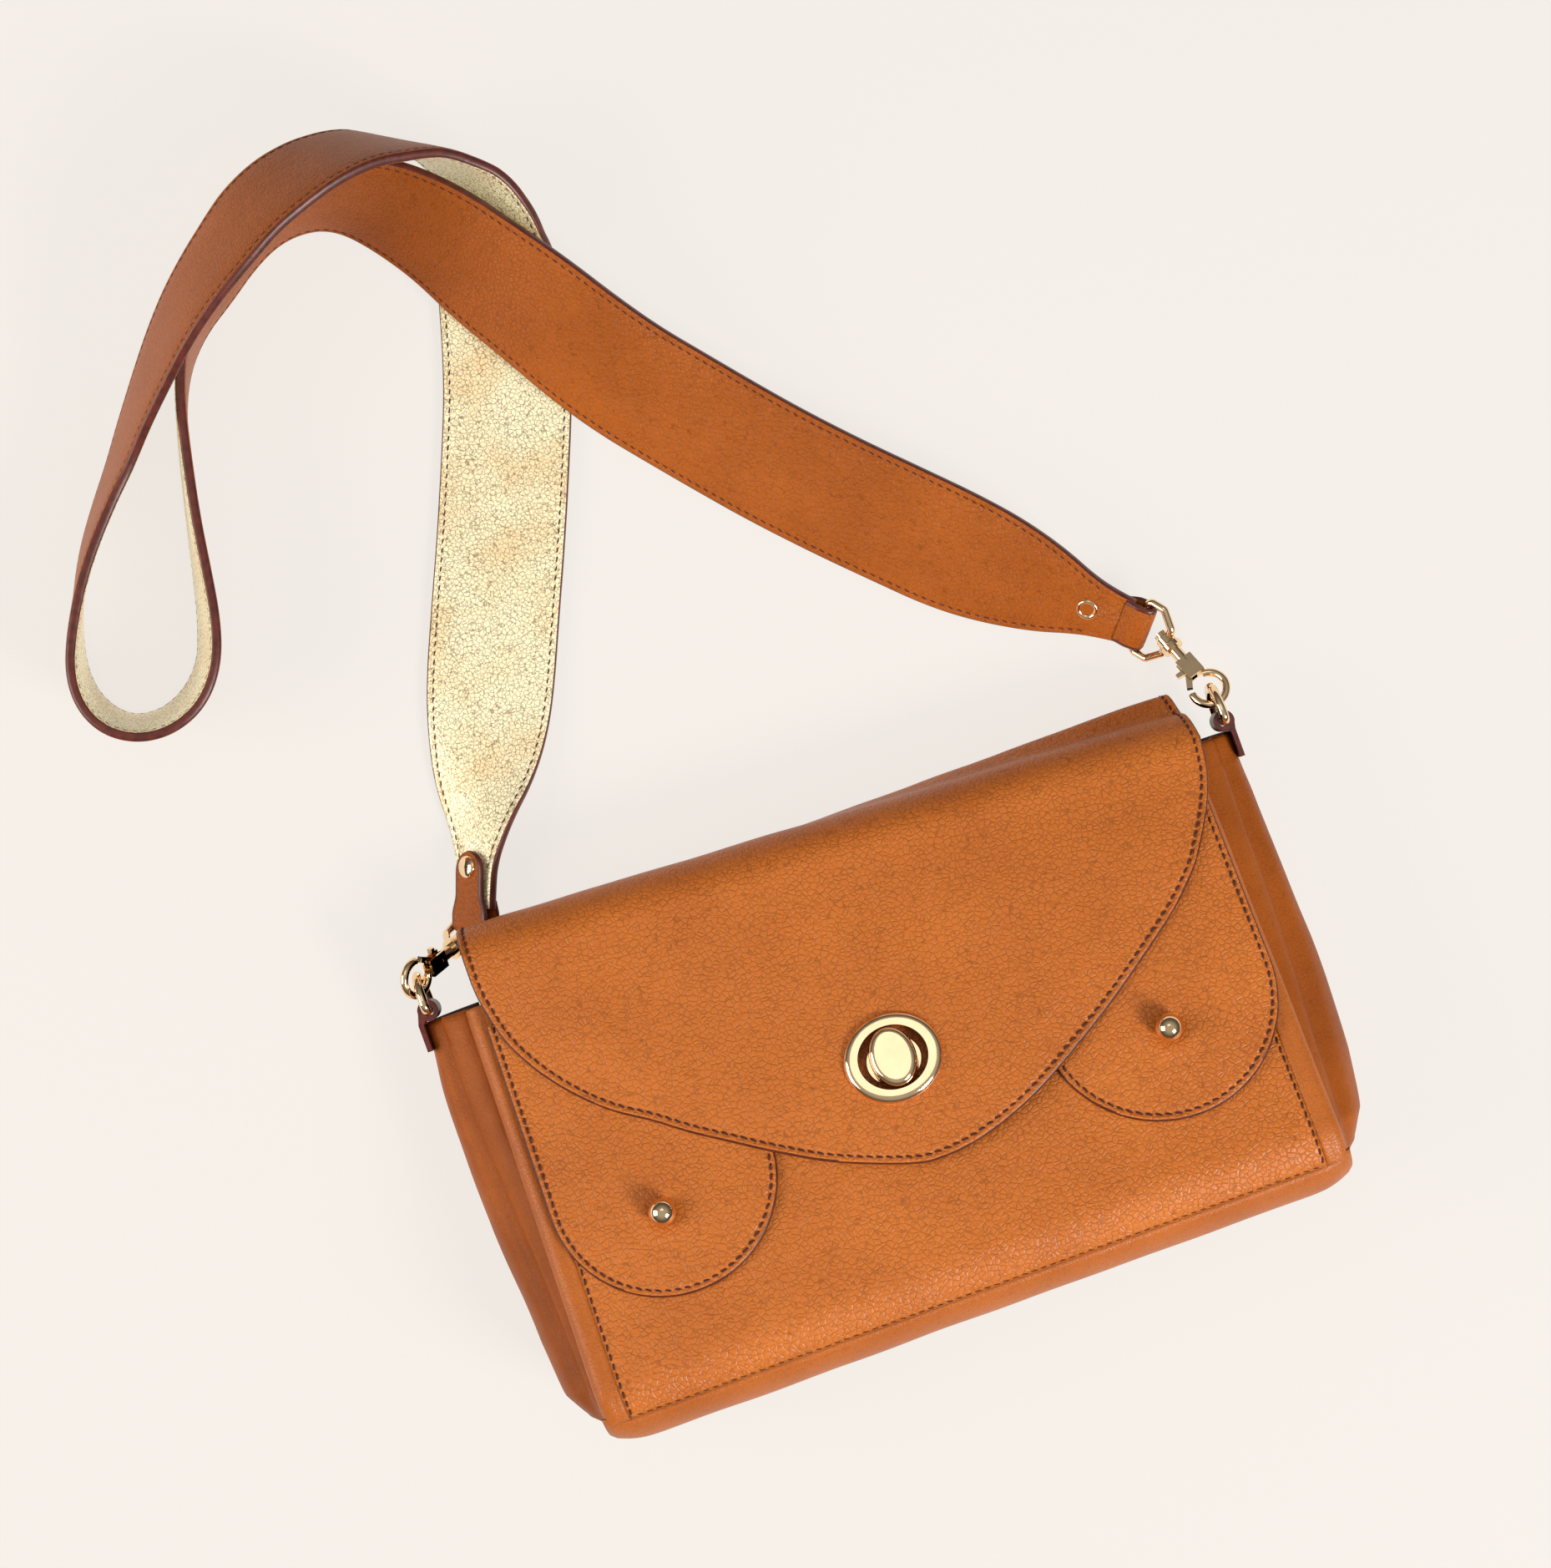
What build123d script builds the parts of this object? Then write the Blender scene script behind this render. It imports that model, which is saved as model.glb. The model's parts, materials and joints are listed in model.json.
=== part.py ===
"""Small leather flap bag with a wide shoulder strap, lying on its back.

Millimetres. Origin in the middle of the back face, +Y towards the bag's top
edge, +Z through the bag to its front, +X to the right as the front is seen.
"""

import math
import os

from build123d import *

os.makedirs("parts", exist_ok=True)

# Body
BASE_Y = -70.0
MOUTH_Y = 67.0
FRONT_SLOPE = 0.2314
FRONT_AT_BASE = 69.7
BACK_ROUND = 10.0
FRONT_ROUND = 16.0
LEATHER = 1.5
PANEL_HALF = 109.0
STRIP_HALF = 116.5
SEAM_Y = -62.0
BACK_HALF = 114.0
LINING_INSET = 4.0
LINING_THICK = 0.6
LINING_HALF = 107.5
TILT = math.atan(FRONT_SLOPE)

# Flap
CROWN_Y = 84.0
FLAP_RISE = 5.35
FLAP_LEATHER = 1.4
FLAP_LINING = 0.9
HINGE_Z = 20.0
ROOT_HALF = 109.0
FLAP_EDGE = [
    (114, 68), (112, 56), (106, 47), (95, 31), (79, 17), (60, 5),
    (50, -1.5), (32, -11.5), (17, -18.5), (0, -21),
]

# Petal tabs
PETAL_CENTRE = 79.0
PETAL_RADIUS = 36.0
PETAL_LIFT = 0.4
PETAL_LEATHER = 1.2
PETAL_LINING = 0.9
FOLD_DIRECTION = (0.733, 0.680)
FOLD_POINT = (79.0, 11.22)
STUD_X = 79.3
STUD_Y = -9.3
STUD_BALL = 4.2
STUD_HOLE = 5.4

# Turn lock
LOCK_Y = 9.8
PLATE_LENGTH = 30.0
PLATE_WIDTH = 27.0
HOLE_LENGTH = 21.8
HOLE_WIDTH = 19.8
KNOB_LENGTH = 18.0
KNOB_WIDTH = 14.0

# Rings and hooks
RING_Z = 24.0
RING_Y = 70.5
RING_WIRE = 1.4
RING_HALF = 9.4
RING_DEPTH = 11.0
TAB_WIDTH = 9.4
LEFT_RING_X = -127.6
RIGHT_RING_X = 129.4
BAIL_WIRE = 1.25
BAIL_HALF = 9.4
CLAW_RADIUS = 5.3
CLAW_WIRE = 1.25

# Strap, from its right ring to its left ring: centre, lean in degrees, width
STRAP_LEATHER = 1.9
STRAP_LINING = 1.4
STRAP_GAP = 0.1
STRAP_ROUTE = [
    (114.5, 109, 9.8, 36, 16), (111, 112, 9.5, 36, 17), (104, 118, 9.5, 35, 21),
    (95, 126, 9.5, 31, 30), (83, 137, 10, 27, 37), (71, 148, 10.4, 25, 40),
    (58, 161, 10.4, 24, 40), (44, 175, 10.4, 24, 40), (29, 191, 10.4, 24, 40),
    (17, 205, 10.5, 24, 40), (6, 218, 12.5, 24, 40), (-5, 231, 15.5, 25, 40),
    (-14.5, 244.5, 19, 27, 40), (-24, 260, 21.5, 31, 40), (-34.5, 276, 20, 35, 40),
    (-45, 293.5, 17, 44, 40), (-55, 305, 18, 52, 40), (-65, 312.5, 19.3, 62, 40),
    (-75, 315.5, 20.2, 72, 40), (-85, 315.5, 20.5, 78, 40), (-94.5, 313, 20.6, 82, 40),
    (-104, 307, 20.6, 86, 40), (-113.5, 299.5, 20.6, 88, 40), (-124, 291, 20.6, 93, 40),
    (-131.5, 281, 20.6, 97, 40), (-137, 268, 20.5, 99, 40), (-141, 252, 20.5, 100, 40),
    (-145, 234, 20.5, 101, 40), (-148, 218, 20.4, 103, 40), (-151, 204, 20.4, 105, 40),
    (-155, 193, 20.4, 106, 40), (-162, 185, 20.4, 107, 40), (-171, 181, 20.4, 105, 40),
    (-180, 181, 20.5, 101, 40), (-188, 185, 20.6, 96, 40), (-193, 193, 20.6, 91, 40),
    (-194, 203, 20.6, 86, 40), (-191, 214, 20.6, 82, 40), (-185, 227, 20.6, 78, 40),
    (-178, 238, 20.6, 75, 40), (-170, 248, 20.6, 73, 40), (-162, 257, 21, 71, 40),
    (-154, 266, 24, 68, 40), (-145, 275, 30, 65, 40), (-135, 284, 36.5, 61, 40),
    (-125, 292, 43.5, 58, 40), (-114, 299.5, 48.5, 55, 40), (-103, 306, 52, 52, 40),
    (-92, 312.5, 53.5, 50, 40), (-80, 317, 53, 50, 40), (-69, 320, 50, 54, 40),
    (-57.5, 321, 44.5, 61, 40), (-47, 319, 37.5, 72, 40), (-38.5, 315.5, 31, 84, 40),
    (-32, 309.5, 25, 98, 40), (-28, 302, 20.5, 115, 40), (-27.5, 294, 16.3, 134, 40),
    (-29.5, 285, 11.7, 151, 40), (-32, 275, 7.6, 164, 40), (-35, 263, 4.4, 173, 40),
    (-38.5, 251, 2.6, 178, 40), (-43, 238, 2, 180, 40), (-50, 221, 2, 180, 40),
    (-59, 200, 2, 180, 40), (-69, 178, 2, 180, 40), (-77, 160, 2, 180, 40),
    (-83, 146, 2.7, 178, 38), (-90, 131, 4.4, 168, 32), (-95.5, 118, 6.6, 150, 22),
    (-100, 107.5, 7.7, 140, 16), (-103, 100, 8, 137, 16), (-105.1, 94.3, 8.3, 136, 16),
]


def front_z(y):
    """Height of the front panel's outer face."""
    return FRONT_AT_BASE - FRONT_SLOPE * (y - BASE_Y)


def front_plane(x, y, lift):
    """Plane on the front panel, raised along its normal, with local y up the bag."""
    normal = Vector(0, math.sin(TILT), math.cos(TILT))
    foot = Vector(x, y, front_z(y))
    return Plane(origin=foot + normal * lift, x_dir=(1, 0, 0), z_dir=normal)


def body_outline(inset):
    """Side outline of the body, a given depth inside its outer face."""
    far = MOUTH_Y + 20
    base = BASE_Y + inset
    drop = inset / math.cos(TILT)
    with BuildSketch(Plane.YZ) as outline:
        with BuildLine():
            Polyline(
                (far, inset), (base, inset), (base, front_z(base) - drop),
                (far, front_z(far) - drop), close=True,
            )
        make_face()
        back_corner = outline.vertices().sort_by_distance((base, inset))[0]
        fillet(back_corner, BACK_ROUND - inset)
        front_corner = outline.vertices().sort_by_distance((base, front_z(base)))[0]
        fillet(front_corner, FRONT_ROUND - inset)
    return outline.sketch


def flap_outline(near, far):
    """Side outline of one flap layer between two depths below its outer face."""
    low = 62.0
    tip = -30.0
    outer = CROWN_Y - near
    inner = CROWN_Y - far

    def top(y, depth):
        return front_z(y) + (FLAP_RISE - depth) / math.cos(TILT)

    with BuildSketch(Plane.YZ) as outline:
        with BuildLine():
            Polyline(
                (low, near), (outer, near), (outer, top(outer, near)), (tip, top(tip, near)),
                (tip, top(tip, far)), (inner, top(inner, far)), (inner, far), (low, far),
                close=True,
            )
        make_face()
        for y, depth in [(outer, near), (inner, far)]:
            low_corner = outline.vertices().sort_by_distance((y, depth))[0]
            fillet(low_corner, 16.0 - depth)
            top_corner = outline.vertices().sort_by_distance((y, top(y, depth)))[0]
            fillet(top_corner, 14.0 - depth)
    return outline.sketch


def flap_plan(inset):
    """Outline of the closed flap seen from the front."""
    right = [(x - inset * (x > 50), y + inset) for x, y in FLAP_EDGE]
    left = [(-x, y) for x, y in reversed(right[:-1])]
    with BuildSketch(Plane.XY) as plan:
        with BuildLine():
            Spline(*(right + left))
            Polyline(
                left[-1], (-114 + inset, 76), (-110 + inset, 86), (110 - inset, 86),
                (114 - inset, 76), right[0],
            )
        make_face()
    return plan.sketch


def petal_outline(side, inset, beyond):
    """Outline of a petal tab in the front plane, on one side of its fold line."""
    run = Vector(FOLD_DIRECTION[0] * side, FOLD_DIRECTION[1])
    out = Vector(FOLD_DIRECTION[1] * side, -FOLD_DIRECTION[0])
    foot = Vector(FOLD_POINT[0] * side, FOLD_POINT[1])
    angle = math.degrees(math.atan2(out.Y, out.X))
    half = 60.0
    shift = out * (half + 0.2 if beyond else -half - 0.2)
    radius = PETAL_RADIUS - inset
    with BuildSketch(front_plane(0, 0, 0)) as outline:
        with Locations((PETAL_CENTRE * side, 0)):
            Circle(radius)
        with Locations((PETAL_CENTRE * side, 22)):
            Rectangle(2 * radius, 44 - 2 * inset)
        with Locations((foot.X + shift.X, foot.Y + shift.Y)):
            Rectangle(2 * half, 6 * half, rotation=angle, mode=Mode.INTERSECT)
    return outline.sketch


def gusset_section(side, y, front, middle, back):
    """Bowed cross section of a side gusset at one height of the bag."""
    with BuildSketch(Plane.XZ.offset(-y)) as section:
        with BuildLine():
            outer = [(side * x, z) for x, z in (front, middle, back)]
            inner = [(side * (x - LEATHER), z) for x, z in (back, middle, front)]
            ThreePointArc(*outer)
            Line(outer[2], inner[0])
            ThreePointArc(*inner)
            Line(inner[2], outer[0])
        make_face()
    return section.sketch


def ring_path(x):
    """Centre line of a D-ring standing across the bag's depth."""
    with BuildLine(Plane((x, RING_Y, RING_Z), x_dir=(0, 1, 0), z_dir=(1, 0, 0))) as path:
        FilletPolyline(
            (0, -RING_HALF), (0, RING_HALF), (RING_DEPTH, RING_HALF), (RING_DEPTH, -RING_HALF),
            radius=[2.2, 2.2, 8.6, 8.6], close=True,
        )
    return path.wires()[0]


def bail_path(plane):
    """Centre line of a strap-end ring."""
    with BuildLine(plane) as path:
        FilletPolyline(
            (-BAIL_HALF, 0), (BAIL_HALF, 0), (BAIL_HALF, 5.5), (4.5, BAIL_REACH),
            (-4.5, BAIL_REACH), (-BAIL_HALF, 5.5), radius=1.6, close=True,
        )
    return path.wires()[0]


def tab_outline(side, x):
    """Outline of a D-ring's leather tab, folded round the ring's straight bar."""
    with BuildSketch(Plane.XY.offset(RING_Z - TAB_WIDTH / 2)) as outline:
        with Locations((x, RING_Y)):
            Circle(RING_WIRE + 1.85)
        with BuildLine():
            Polyline(
                (x + side * 3.2, RING_Y), (side * 131.9, 67), (side * 131.9, 58.5),
                (side * 130.4, 58.5), (side * 130.4, 66.6), (x + side * 1.4, RING_Y - 2.2),
                close=True,
            )
        make_face()
        with Locations((x, RING_Y)):
            Circle(RING_WIRE + 0.35, mode=Mode.SUBTRACT)
    return outline.sketch


def strap_frames():
    """Centre, cross direction, leather-side normal and width at each point of the strap."""
    frames = []
    for i, (x, y, z, lean, width) in enumerate(STRAP_ROUTE):
        before = Vector(*STRAP_ROUTE[max(i - 1, 0)][:3])
        after = Vector(*STRAP_ROUTE[min(i + 1, len(STRAP_ROUTE) - 1)][:3])
        travel = (after - before).normalized()
        right = travel.cross(Vector(0, 0, 1)).normalized()
        upper = right.cross(travel)
        turn = math.radians(lean)
        across = right * math.cos(turn) + upper * math.sin(turn)
        frames.append((Vector(x, y, z), across, across.cross(travel), width))
    return frames


def strap_sections(low, high):
    """Rectangles across the strap between two distances from its middle surface."""
    sections = []
    for centre, across, normal, width in strap_frames():
        plane = Plane(origin=centre + normal * (low + high) / 2, x_dir=across, z_dir=across.cross(normal))
        with BuildSketch(plane) as section:
            Rectangle(width, high - low)
        sections.append(section.sketch)
    return sections


def hook_plane(pivot, contact, wire):
    """Plane of a snap hook: origin at its swivel, local x towards the ring it holds."""
    run = Vector(*contact) - Vector(*pivot)
    length = run.length
    run = run.normalized()
    wire = Vector(*wire)
    normal = (wire - run * wire.dot(run)).normalized()
    return Plane(origin=pivot, x_dir=run, z_dir=normal), length


def bail_plane(index, centre, reach):
    """Plane of a strap-end ring: origin at its bar, local x along the bar."""
    across = strap_frames()[index][1]
    towards = Vector(*reach) - centre
    towards = (towards - across * towards.dot(across)).normalized()
    return Plane(origin=centre, x_dir=across, z_dir=across.cross(towards))


LEFT_BAR = Vector(-106.5, 90.5, 8.5)
RIGHT_BAR = Vector(117.5, 106.5, 10)
LEFT_CONTACT = (-127.6, 80.9, 28.2)
RIGHT_CONTACT = (129.4, 81.2, 21.55)
LEFT_WIRE = (0, -0.42, 0.906)
RIGHT_WIRE = (0, 0.259, 0.966)
LEFT_BAIL = bail_plane(-1, LEFT_BAR, (-135.3, 73.3, 30.3))
RIGHT_BAIL = bail_plane(0, RIGHT_BAR, (128.0, 91.0, 16.0))
BAIL_REACH = 10.0
TONGUE_LENGTH = 22.0
RIVET_FROM_BAR = 17.0
LEFT_PIVOT = LEFT_BAIL.from_local_coords((0, BAIL_REACH, 0))
RIGHT_PIVOT = RIGHT_BAIL.from_local_coords((0, BAIL_REACH, 0))
LEFT_HOOK, LEFT_LENGTH = hook_plane(LEFT_PIVOT, LEFT_CONTACT, LEFT_WIRE)
RIGHT_HOOK, RIGHT_LENGTH = hook_plane(RIGHT_PIVOT, RIGHT_CONTACT, RIGHT_WIRE)
print("swivels", LEFT_PIVOT, RIGHT_PIVOT)
print("hook lengths", LEFT_LENGTH, RIGHT_LENGTH)
print("hook axes", LEFT_HOOK.x_dir, RIGHT_HOOK.x_dir)
print("hook normals", LEFT_HOOK.z_dir, RIGHT_HOOK.z_dir)


def hook_body_outline(plane, length):
    """Flat shank of a snap hook, drawn in the hook's plane."""
    with BuildSketch(plane) as outline:
        with Locations((length - 9.2, 0)):
            Rectangle(7.0, 5.6)
    return outline.sketch


def trigger_outline(plane, length):
    """Trigger lever of a snap hook: gate, pivot eye and thumb end."""
    pin = (length - 8.6, -1.4)
    gate = (length - 3.7, -4.55)
    thumb = (length - 9.8, -5.2)
    with BuildSketch(plane) as outline:
        with Locations(pin):
            Circle(1.35)
        with BuildLine():
            Polyline(
                (pin[0] - 0.6, pin[1] + 0.9), (pin[0] + 0.9, pin[1] + 0.9),
                (gate[0] + 0.6, gate[1] + 0.8), (gate[0] - 0.3, gate[1] - 0.8),
                (pin[0] + 0.5, pin[1] - 1.3), (thumb[0] + 1.3, thumb[1]), (thumb[0], thumb[1]),
                (pin[0] - 1.2, pin[1]), close=True,
            )
        make_face()
        with Locations(pin):
            Circle(0.85, mode=Mode.SUBTRACT)
    return outline.sketch


# Leather body
with BuildPart() as front_panel:
    extrude(body_outline(0), amount=PANEL_HALF, both=True)
    extrude(body_outline(LEATHER), amount=PANEL_HALF + 5, both=True, mode=Mode.SUBTRACT)
    with Locations((0, (SEAM_Y + MOUTH_Y) / 2, 60)):
        Box(2 * PANEL_HALF, MOUTH_Y - SEAM_Y, 80, mode=Mode.INTERSECT)
    with BuildSketch(front_plane(0, LOCK_Y, 1)):
        Circle(1.6)
    extrude(amount=-6, mode=Mode.SUBTRACT)
    with BuildSketch(front_plane(0, STUD_Y, 1)):
        with Locations((-STUD_X, 0), (STUD_X, 0)):
            Circle(1.3)
    extrude(amount=-6, mode=Mode.SUBTRACT)

with BuildPart() as side_strip_left:
    extrude(body_outline(0), amount=STRIP_HALF, both=True)
    extrude(body_outline(LEATHER), amount=STRIP_HALF + 5, both=True, mode=Mode.SUBTRACT)
    with Locations((-(PANEL_HALF + 0.2 + STRIP_HALF) / 2, (SEAM_Y + MOUTH_Y) / 2, 60)):
        Box(STRIP_HALF - PANEL_HALF - 0.2, MOUTH_Y - SEAM_Y, 80, mode=Mode.INTERSECT)

with BuildPart() as side_strip_right:
    extrude(body_outline(0), amount=STRIP_HALF, both=True)
    extrude(body_outline(LEATHER), amount=STRIP_HALF + 5, both=True, mode=Mode.SUBTRACT)
    with Locations(((PANEL_HALF + 0.2 + STRIP_HALF) / 2, (SEAM_Y + MOUTH_Y) / 2, 60)):
        Box(STRIP_HALF - PANEL_HALF - 0.2, MOUTH_Y - SEAM_Y, 80, mode=Mode.INTERSECT)

with BuildPart() as bottom_panel:
    extrude(body_outline(0), amount=STRIP_HALF, both=True)
    extrude(body_outline(LEATHER), amount=STRIP_HALF + 5, both=True, mode=Mode.SUBTRACT)
    with Locations((0, SEAM_Y - 0.2 - 10, 40)):
        Box(2 * STRIP_HALF, 20, 100, mode=Mode.INTERSECT)

with BuildPart() as back_panel:
    extrude(body_outline(0), amount=BACK_HALF, both=True)
    extrude(body_outline(LEATHER), amount=BACK_HALF + 5, both=True, mode=Mode.SUBTRACT)
    with Locations((0, 0, 0)):
        Box(2 * BACK_HALF, 2 * 61.8, 20, mode=Mode.INTERSECT)

with BuildPart() as body_lining:
    extrude(body_outline(LINING_INSET), amount=LINING_HALF, both=True)
    extrude(
        body_outline(LINING_INSET + LINING_THICK),
        amount=LINING_HALF - LINING_THICK, both=True, mode=Mode.SUBTRACT,
    )
    with Locations((0, MOUTH_Y - 1 - 100, 40)):
        Box(300, 200, 200, mode=Mode.INTERSECT)

with BuildPart() as base_board:
    with Locations((0, -67.4, 31)):
        Box(208, 1.6, 34)

GUSSET = [
    (67, (117.2, 34.2), (130, 19), (114.3, 1.6)),
    (0, (118.4, 49.5), (129.5, 26), (115.3, 1.6)),
    (-50, (119, 61), (127, 32), (117.2, 2)),
    (-62, (119, 58), (124.5, 32), (117.4, 5)),
    (-68, (118.4, 52), (120.5, 32), (117.8, 11)),
]

with BuildPart() as gusset_left:
    for y, front, middle, back in GUSSET:
        add(gusset_section(-1, y, front, middle, back))
    loft(ruled=True)

with BuildPart() as gusset_right:
    for y, front, middle, back in GUSSET:
        add(gusset_section(1, y, front, middle, back))
    loft(ruled=True)

# Flap
with BuildPart() as flap_root:
    extrude(flap_outline(0, FLAP_LEATHER + 0.05 + FLAP_LINING), amount=ROOT_HALF, both=True)
    with Locations((0, 75, (HINGE_Z - 0.15) / 2)):
        Box(300, 40, HINGE_Z - 0.15, mode=Mode.INTERSECT)

with BuildPart() as flap_leather:
    extrude(flap_outline(0, FLAP_LEATHER), amount=120, both=True)
    extrude(flap_plan(0), amount=100, mode=Mode.INTERSECT)
    with Locations((0, 0, HINGE_Z + 0.15 + 50)):
        Box(300, 300, 100, mode=Mode.INTERSECT)
    with BuildSketch(front_plane(0, LOCK_Y, 0)):
        Ellipse(HOLE_LENGTH / 2, HOLE_WIDTH / 2)
    extrude(amount=12, mode=Mode.SUBTRACT)

with BuildPart() as flap_lining:
    extrude(flap_outline(FLAP_LEATHER + 0.05, FLAP_LEATHER + 0.05 + FLAP_LINING), amount=120, both=True)
    extrude(flap_plan(0.6), amount=100, mode=Mode.INTERSECT)
    with Locations((0, 0, HINGE_Z + 0.15 + 50)):
        Box(300, 300, 100, mode=Mode.INTERSECT)
    with BuildSketch(front_plane(0, LOCK_Y, 0)):
        Ellipse(HOLE_LENGTH / 2, HOLE_WIDTH / 2)
    extrude(amount=12, mode=Mode.SUBTRACT)

# Petal tabs
PETAL_TOP = PETAL_LIFT + PETAL_LINING + 0.05

with BuildPart() as petal_root_left:
    extrude(petal_outline(-1, 0, False), amount=PETAL_TOP + PETAL_LEATHER)
    extrude(petal_outline(-1, -5, False), amount=PETAL_LIFT, mode=Mode.SUBTRACT)

with BuildPart() as petal_root_right:
    extrude(petal_outline(1, 0, False), amount=PETAL_TOP + PETAL_LEATHER)
    extrude(petal_outline(1, -5, False), amount=PETAL_LIFT, mode=Mode.SUBTRACT)

with BuildPart() as petal_left:
    extrude(petal_outline(-1, 0, True), amount=PETAL_TOP + PETAL_LEATHER)
    extrude(petal_outline(-1, -5, True), amount=PETAL_TOP, mode=Mode.SUBTRACT)
    with BuildSketch(front_plane(-STUD_X, STUD_Y, 0)):
        Circle(STUD_HOLE)
    extrude(amount=8, mode=Mode.SUBTRACT)

with BuildPart() as petal_right:
    extrude(petal_outline(1, 0, True), amount=PETAL_TOP + PETAL_LEATHER)
    extrude(petal_outline(1, -5, True), amount=PETAL_TOP, mode=Mode.SUBTRACT)
    with BuildSketch(front_plane(STUD_X, STUD_Y, 0)):
        Circle(STUD_HOLE)
    extrude(amount=8, mode=Mode.SUBTRACT)

with BuildPart() as petal_lining_left:
    extrude(petal_outline(-1, 0.5, True), amount=PETAL_LIFT + PETAL_LINING)
    extrude(petal_outline(-1, -5, True), amount=PETAL_LIFT, mode=Mode.SUBTRACT)
    with BuildSketch(front_plane(-STUD_X, STUD_Y, 0)):
        Circle(STUD_HOLE)
    extrude(amount=8, mode=Mode.SUBTRACT)

with BuildPart() as petal_lining_right:
    extrude(petal_outline(1, 0.5, True), amount=PETAL_LIFT + PETAL_LINING)
    extrude(petal_outline(1, -5, True), amount=PETAL_LIFT, mode=Mode.SUBTRACT)
    with BuildSketch(front_plane(STUD_X, STUD_Y, 0)):
        Circle(STUD_HOLE)
    extrude(amount=8, mode=Mode.SUBTRACT)

# Ball studs and the screws that hold them
with BuildPart() as ball_studs:
    for side in (-1, 1):
        foot = front_plane(side * STUD_X, STUD_Y, 0.05)
        with BuildSketch(foot):
            Circle(3.4)
        extrude(amount=0.9)
        with BuildSketch(foot):
            Circle(1.7)
        extrude(amount=4.5)
        with Locations(foot.offset(6.5)):
            Sphere(STUD_BALL)
        with BuildSketch(foot):
            Circle(1.1)
        extrude(amount=-1.6)

with BuildPart() as stud_screws:
    for side in (-1, 1):
        with BuildSketch(front_plane(side * STUD_X, STUD_Y, -1.65)):
            Circle(3.2)
        extrude(amount=-1.0)

# Turn lock
with BuildPart() as lock_eyelet_plate:
    with BuildSketch(front_plane(0, LOCK_Y, 5.4)):
        Ellipse(PLATE_LENGTH / 2, PLATE_WIDTH / 2)
    extrude(amount=2.4)
    top_edges = lock_eyelet_plate.edges().filter_by(GeomType.ELLIPSE).sort_by(Axis.Z)[-1:]
    fillet(top_edges, 2.1)
    with BuildSketch(front_plane(0, LOCK_Y, 5.0)):
        Ellipse(HOLE_LENGTH / 2 - 0.3, HOLE_WIDTH / 2 - 0.3)
    extrude(amount=4, mode=Mode.SUBTRACT)

with BuildPart() as lock_eyelet_back:
    with BuildSketch(front_plane(0, LOCK_Y, 2.95)):
        Ellipse(PLATE_LENGTH / 2 - 1.5, PLATE_WIDTH / 2 - 1.5)
        Ellipse(HOLE_LENGTH / 2, HOLE_WIDTH / 2, mode=Mode.SUBTRACT)
    extrude(amount=-0.7)

with BuildPart() as lock_base:
    with BuildSketch(front_plane(0, LOCK_Y, 0.05)):
        Ellipse(8.2, 7.2)
    extrude(amount=1.2)
    with BuildSketch(front_plane(0, LOCK_Y, 0.05)):
        Circle(2.6)
    extrude(amount=5.6)
    with BuildSketch(front_plane(0, LOCK_Y, 0.05)):
        Circle(1.4)
    extrude(amount=-1.6)

with BuildPart() as lock_backing:
    with BuildSketch(front_plane(0, LOCK_Y, -1.65)):
        RectangleRounded(22, 14, 3)
    extrude(amount=-0.8)

with BuildPart() as lock_knob:
    with BuildSketch(front_plane(0, LOCK_Y, 6.0)):
        Ellipse(KNOB_WIDTH / 2, KNOB_LENGTH / 2)
    extrude(amount=4.6)
    rims = lock_knob.edges().filter_by(GeomType.ELLIPSE).sort_by(Axis.Z)[-1:]
    fillet(rims, 1.9)
    with BuildSketch(front_plane(0, LOCK_Y, 5.95)):
        Circle(0.8)
    extrude(amount=0.1)

# D-rings and their tabs
with BuildPart() as dring_tab_left:
    extrude(tab_outline(-1, LEFT_RING_X), amount=TAB_WIDTH)

with BuildPart() as dring_tab_right:
    extrude(tab_outline(1, RIGHT_RING_X), amount=TAB_WIDTH)

with BuildPart() as dring_left:
    left_wire = ring_path(LEFT_RING_X)
    with BuildSketch(Plane(origin=left_wire @ 0, z_dir=left_wire % 0)):
        Circle(RING_WIRE)
    sweep(path=left_wire)

with BuildPart() as dring_right:
    right_wire = ring_path(RIGHT_RING_X)
    with BuildSketch(Plane(origin=right_wire @ 0, z_dir=right_wire % 0)):
        Circle(RING_WIRE)
    sweep(path=right_wire)

# Strap-end rings, each with a drilled boss for the hook's swivel
with BuildPart() as hook_ring_left:
    left_bail_wire = bail_path(LEFT_BAIL)
    with BuildSketch(Plane(origin=left_bail_wire @ 0, z_dir=left_bail_wire % 0)):
        Circle(BAIL_WIRE)
    sweep(path=left_bail_wire)
    with BuildSketch(Plane(origin=LEFT_PIVOT, z_dir=LEFT_HOOK.x_dir)):
        Circle(2.9)
    extrude(amount=1.4, both=True)
    with BuildSketch(Plane(origin=LEFT_PIVOT, z_dir=LEFT_HOOK.x_dir)):
        Circle(1.35)
    extrude(amount=4, both=True, mode=Mode.SUBTRACT)

with BuildPart() as hook_ring_right:
    right_bail_wire = bail_path(RIGHT_BAIL)
    with BuildSketch(Plane(origin=right_bail_wire @ 0, z_dir=right_bail_wire % 0)):
        Circle(BAIL_WIRE)
    sweep(path=right_bail_wire)
    with BuildSketch(Plane(origin=RIGHT_PIVOT, z_dir=RIGHT_HOOK.x_dir)):
        Circle(2.9)
    extrude(amount=1.4, both=True)
    with BuildSketch(Plane(origin=RIGHT_PIVOT, z_dir=RIGHT_HOOK.x_dir)):
        Circle(1.35)
    extrude(amount=4, both=True, mode=Mode.SUBTRACT)

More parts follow.
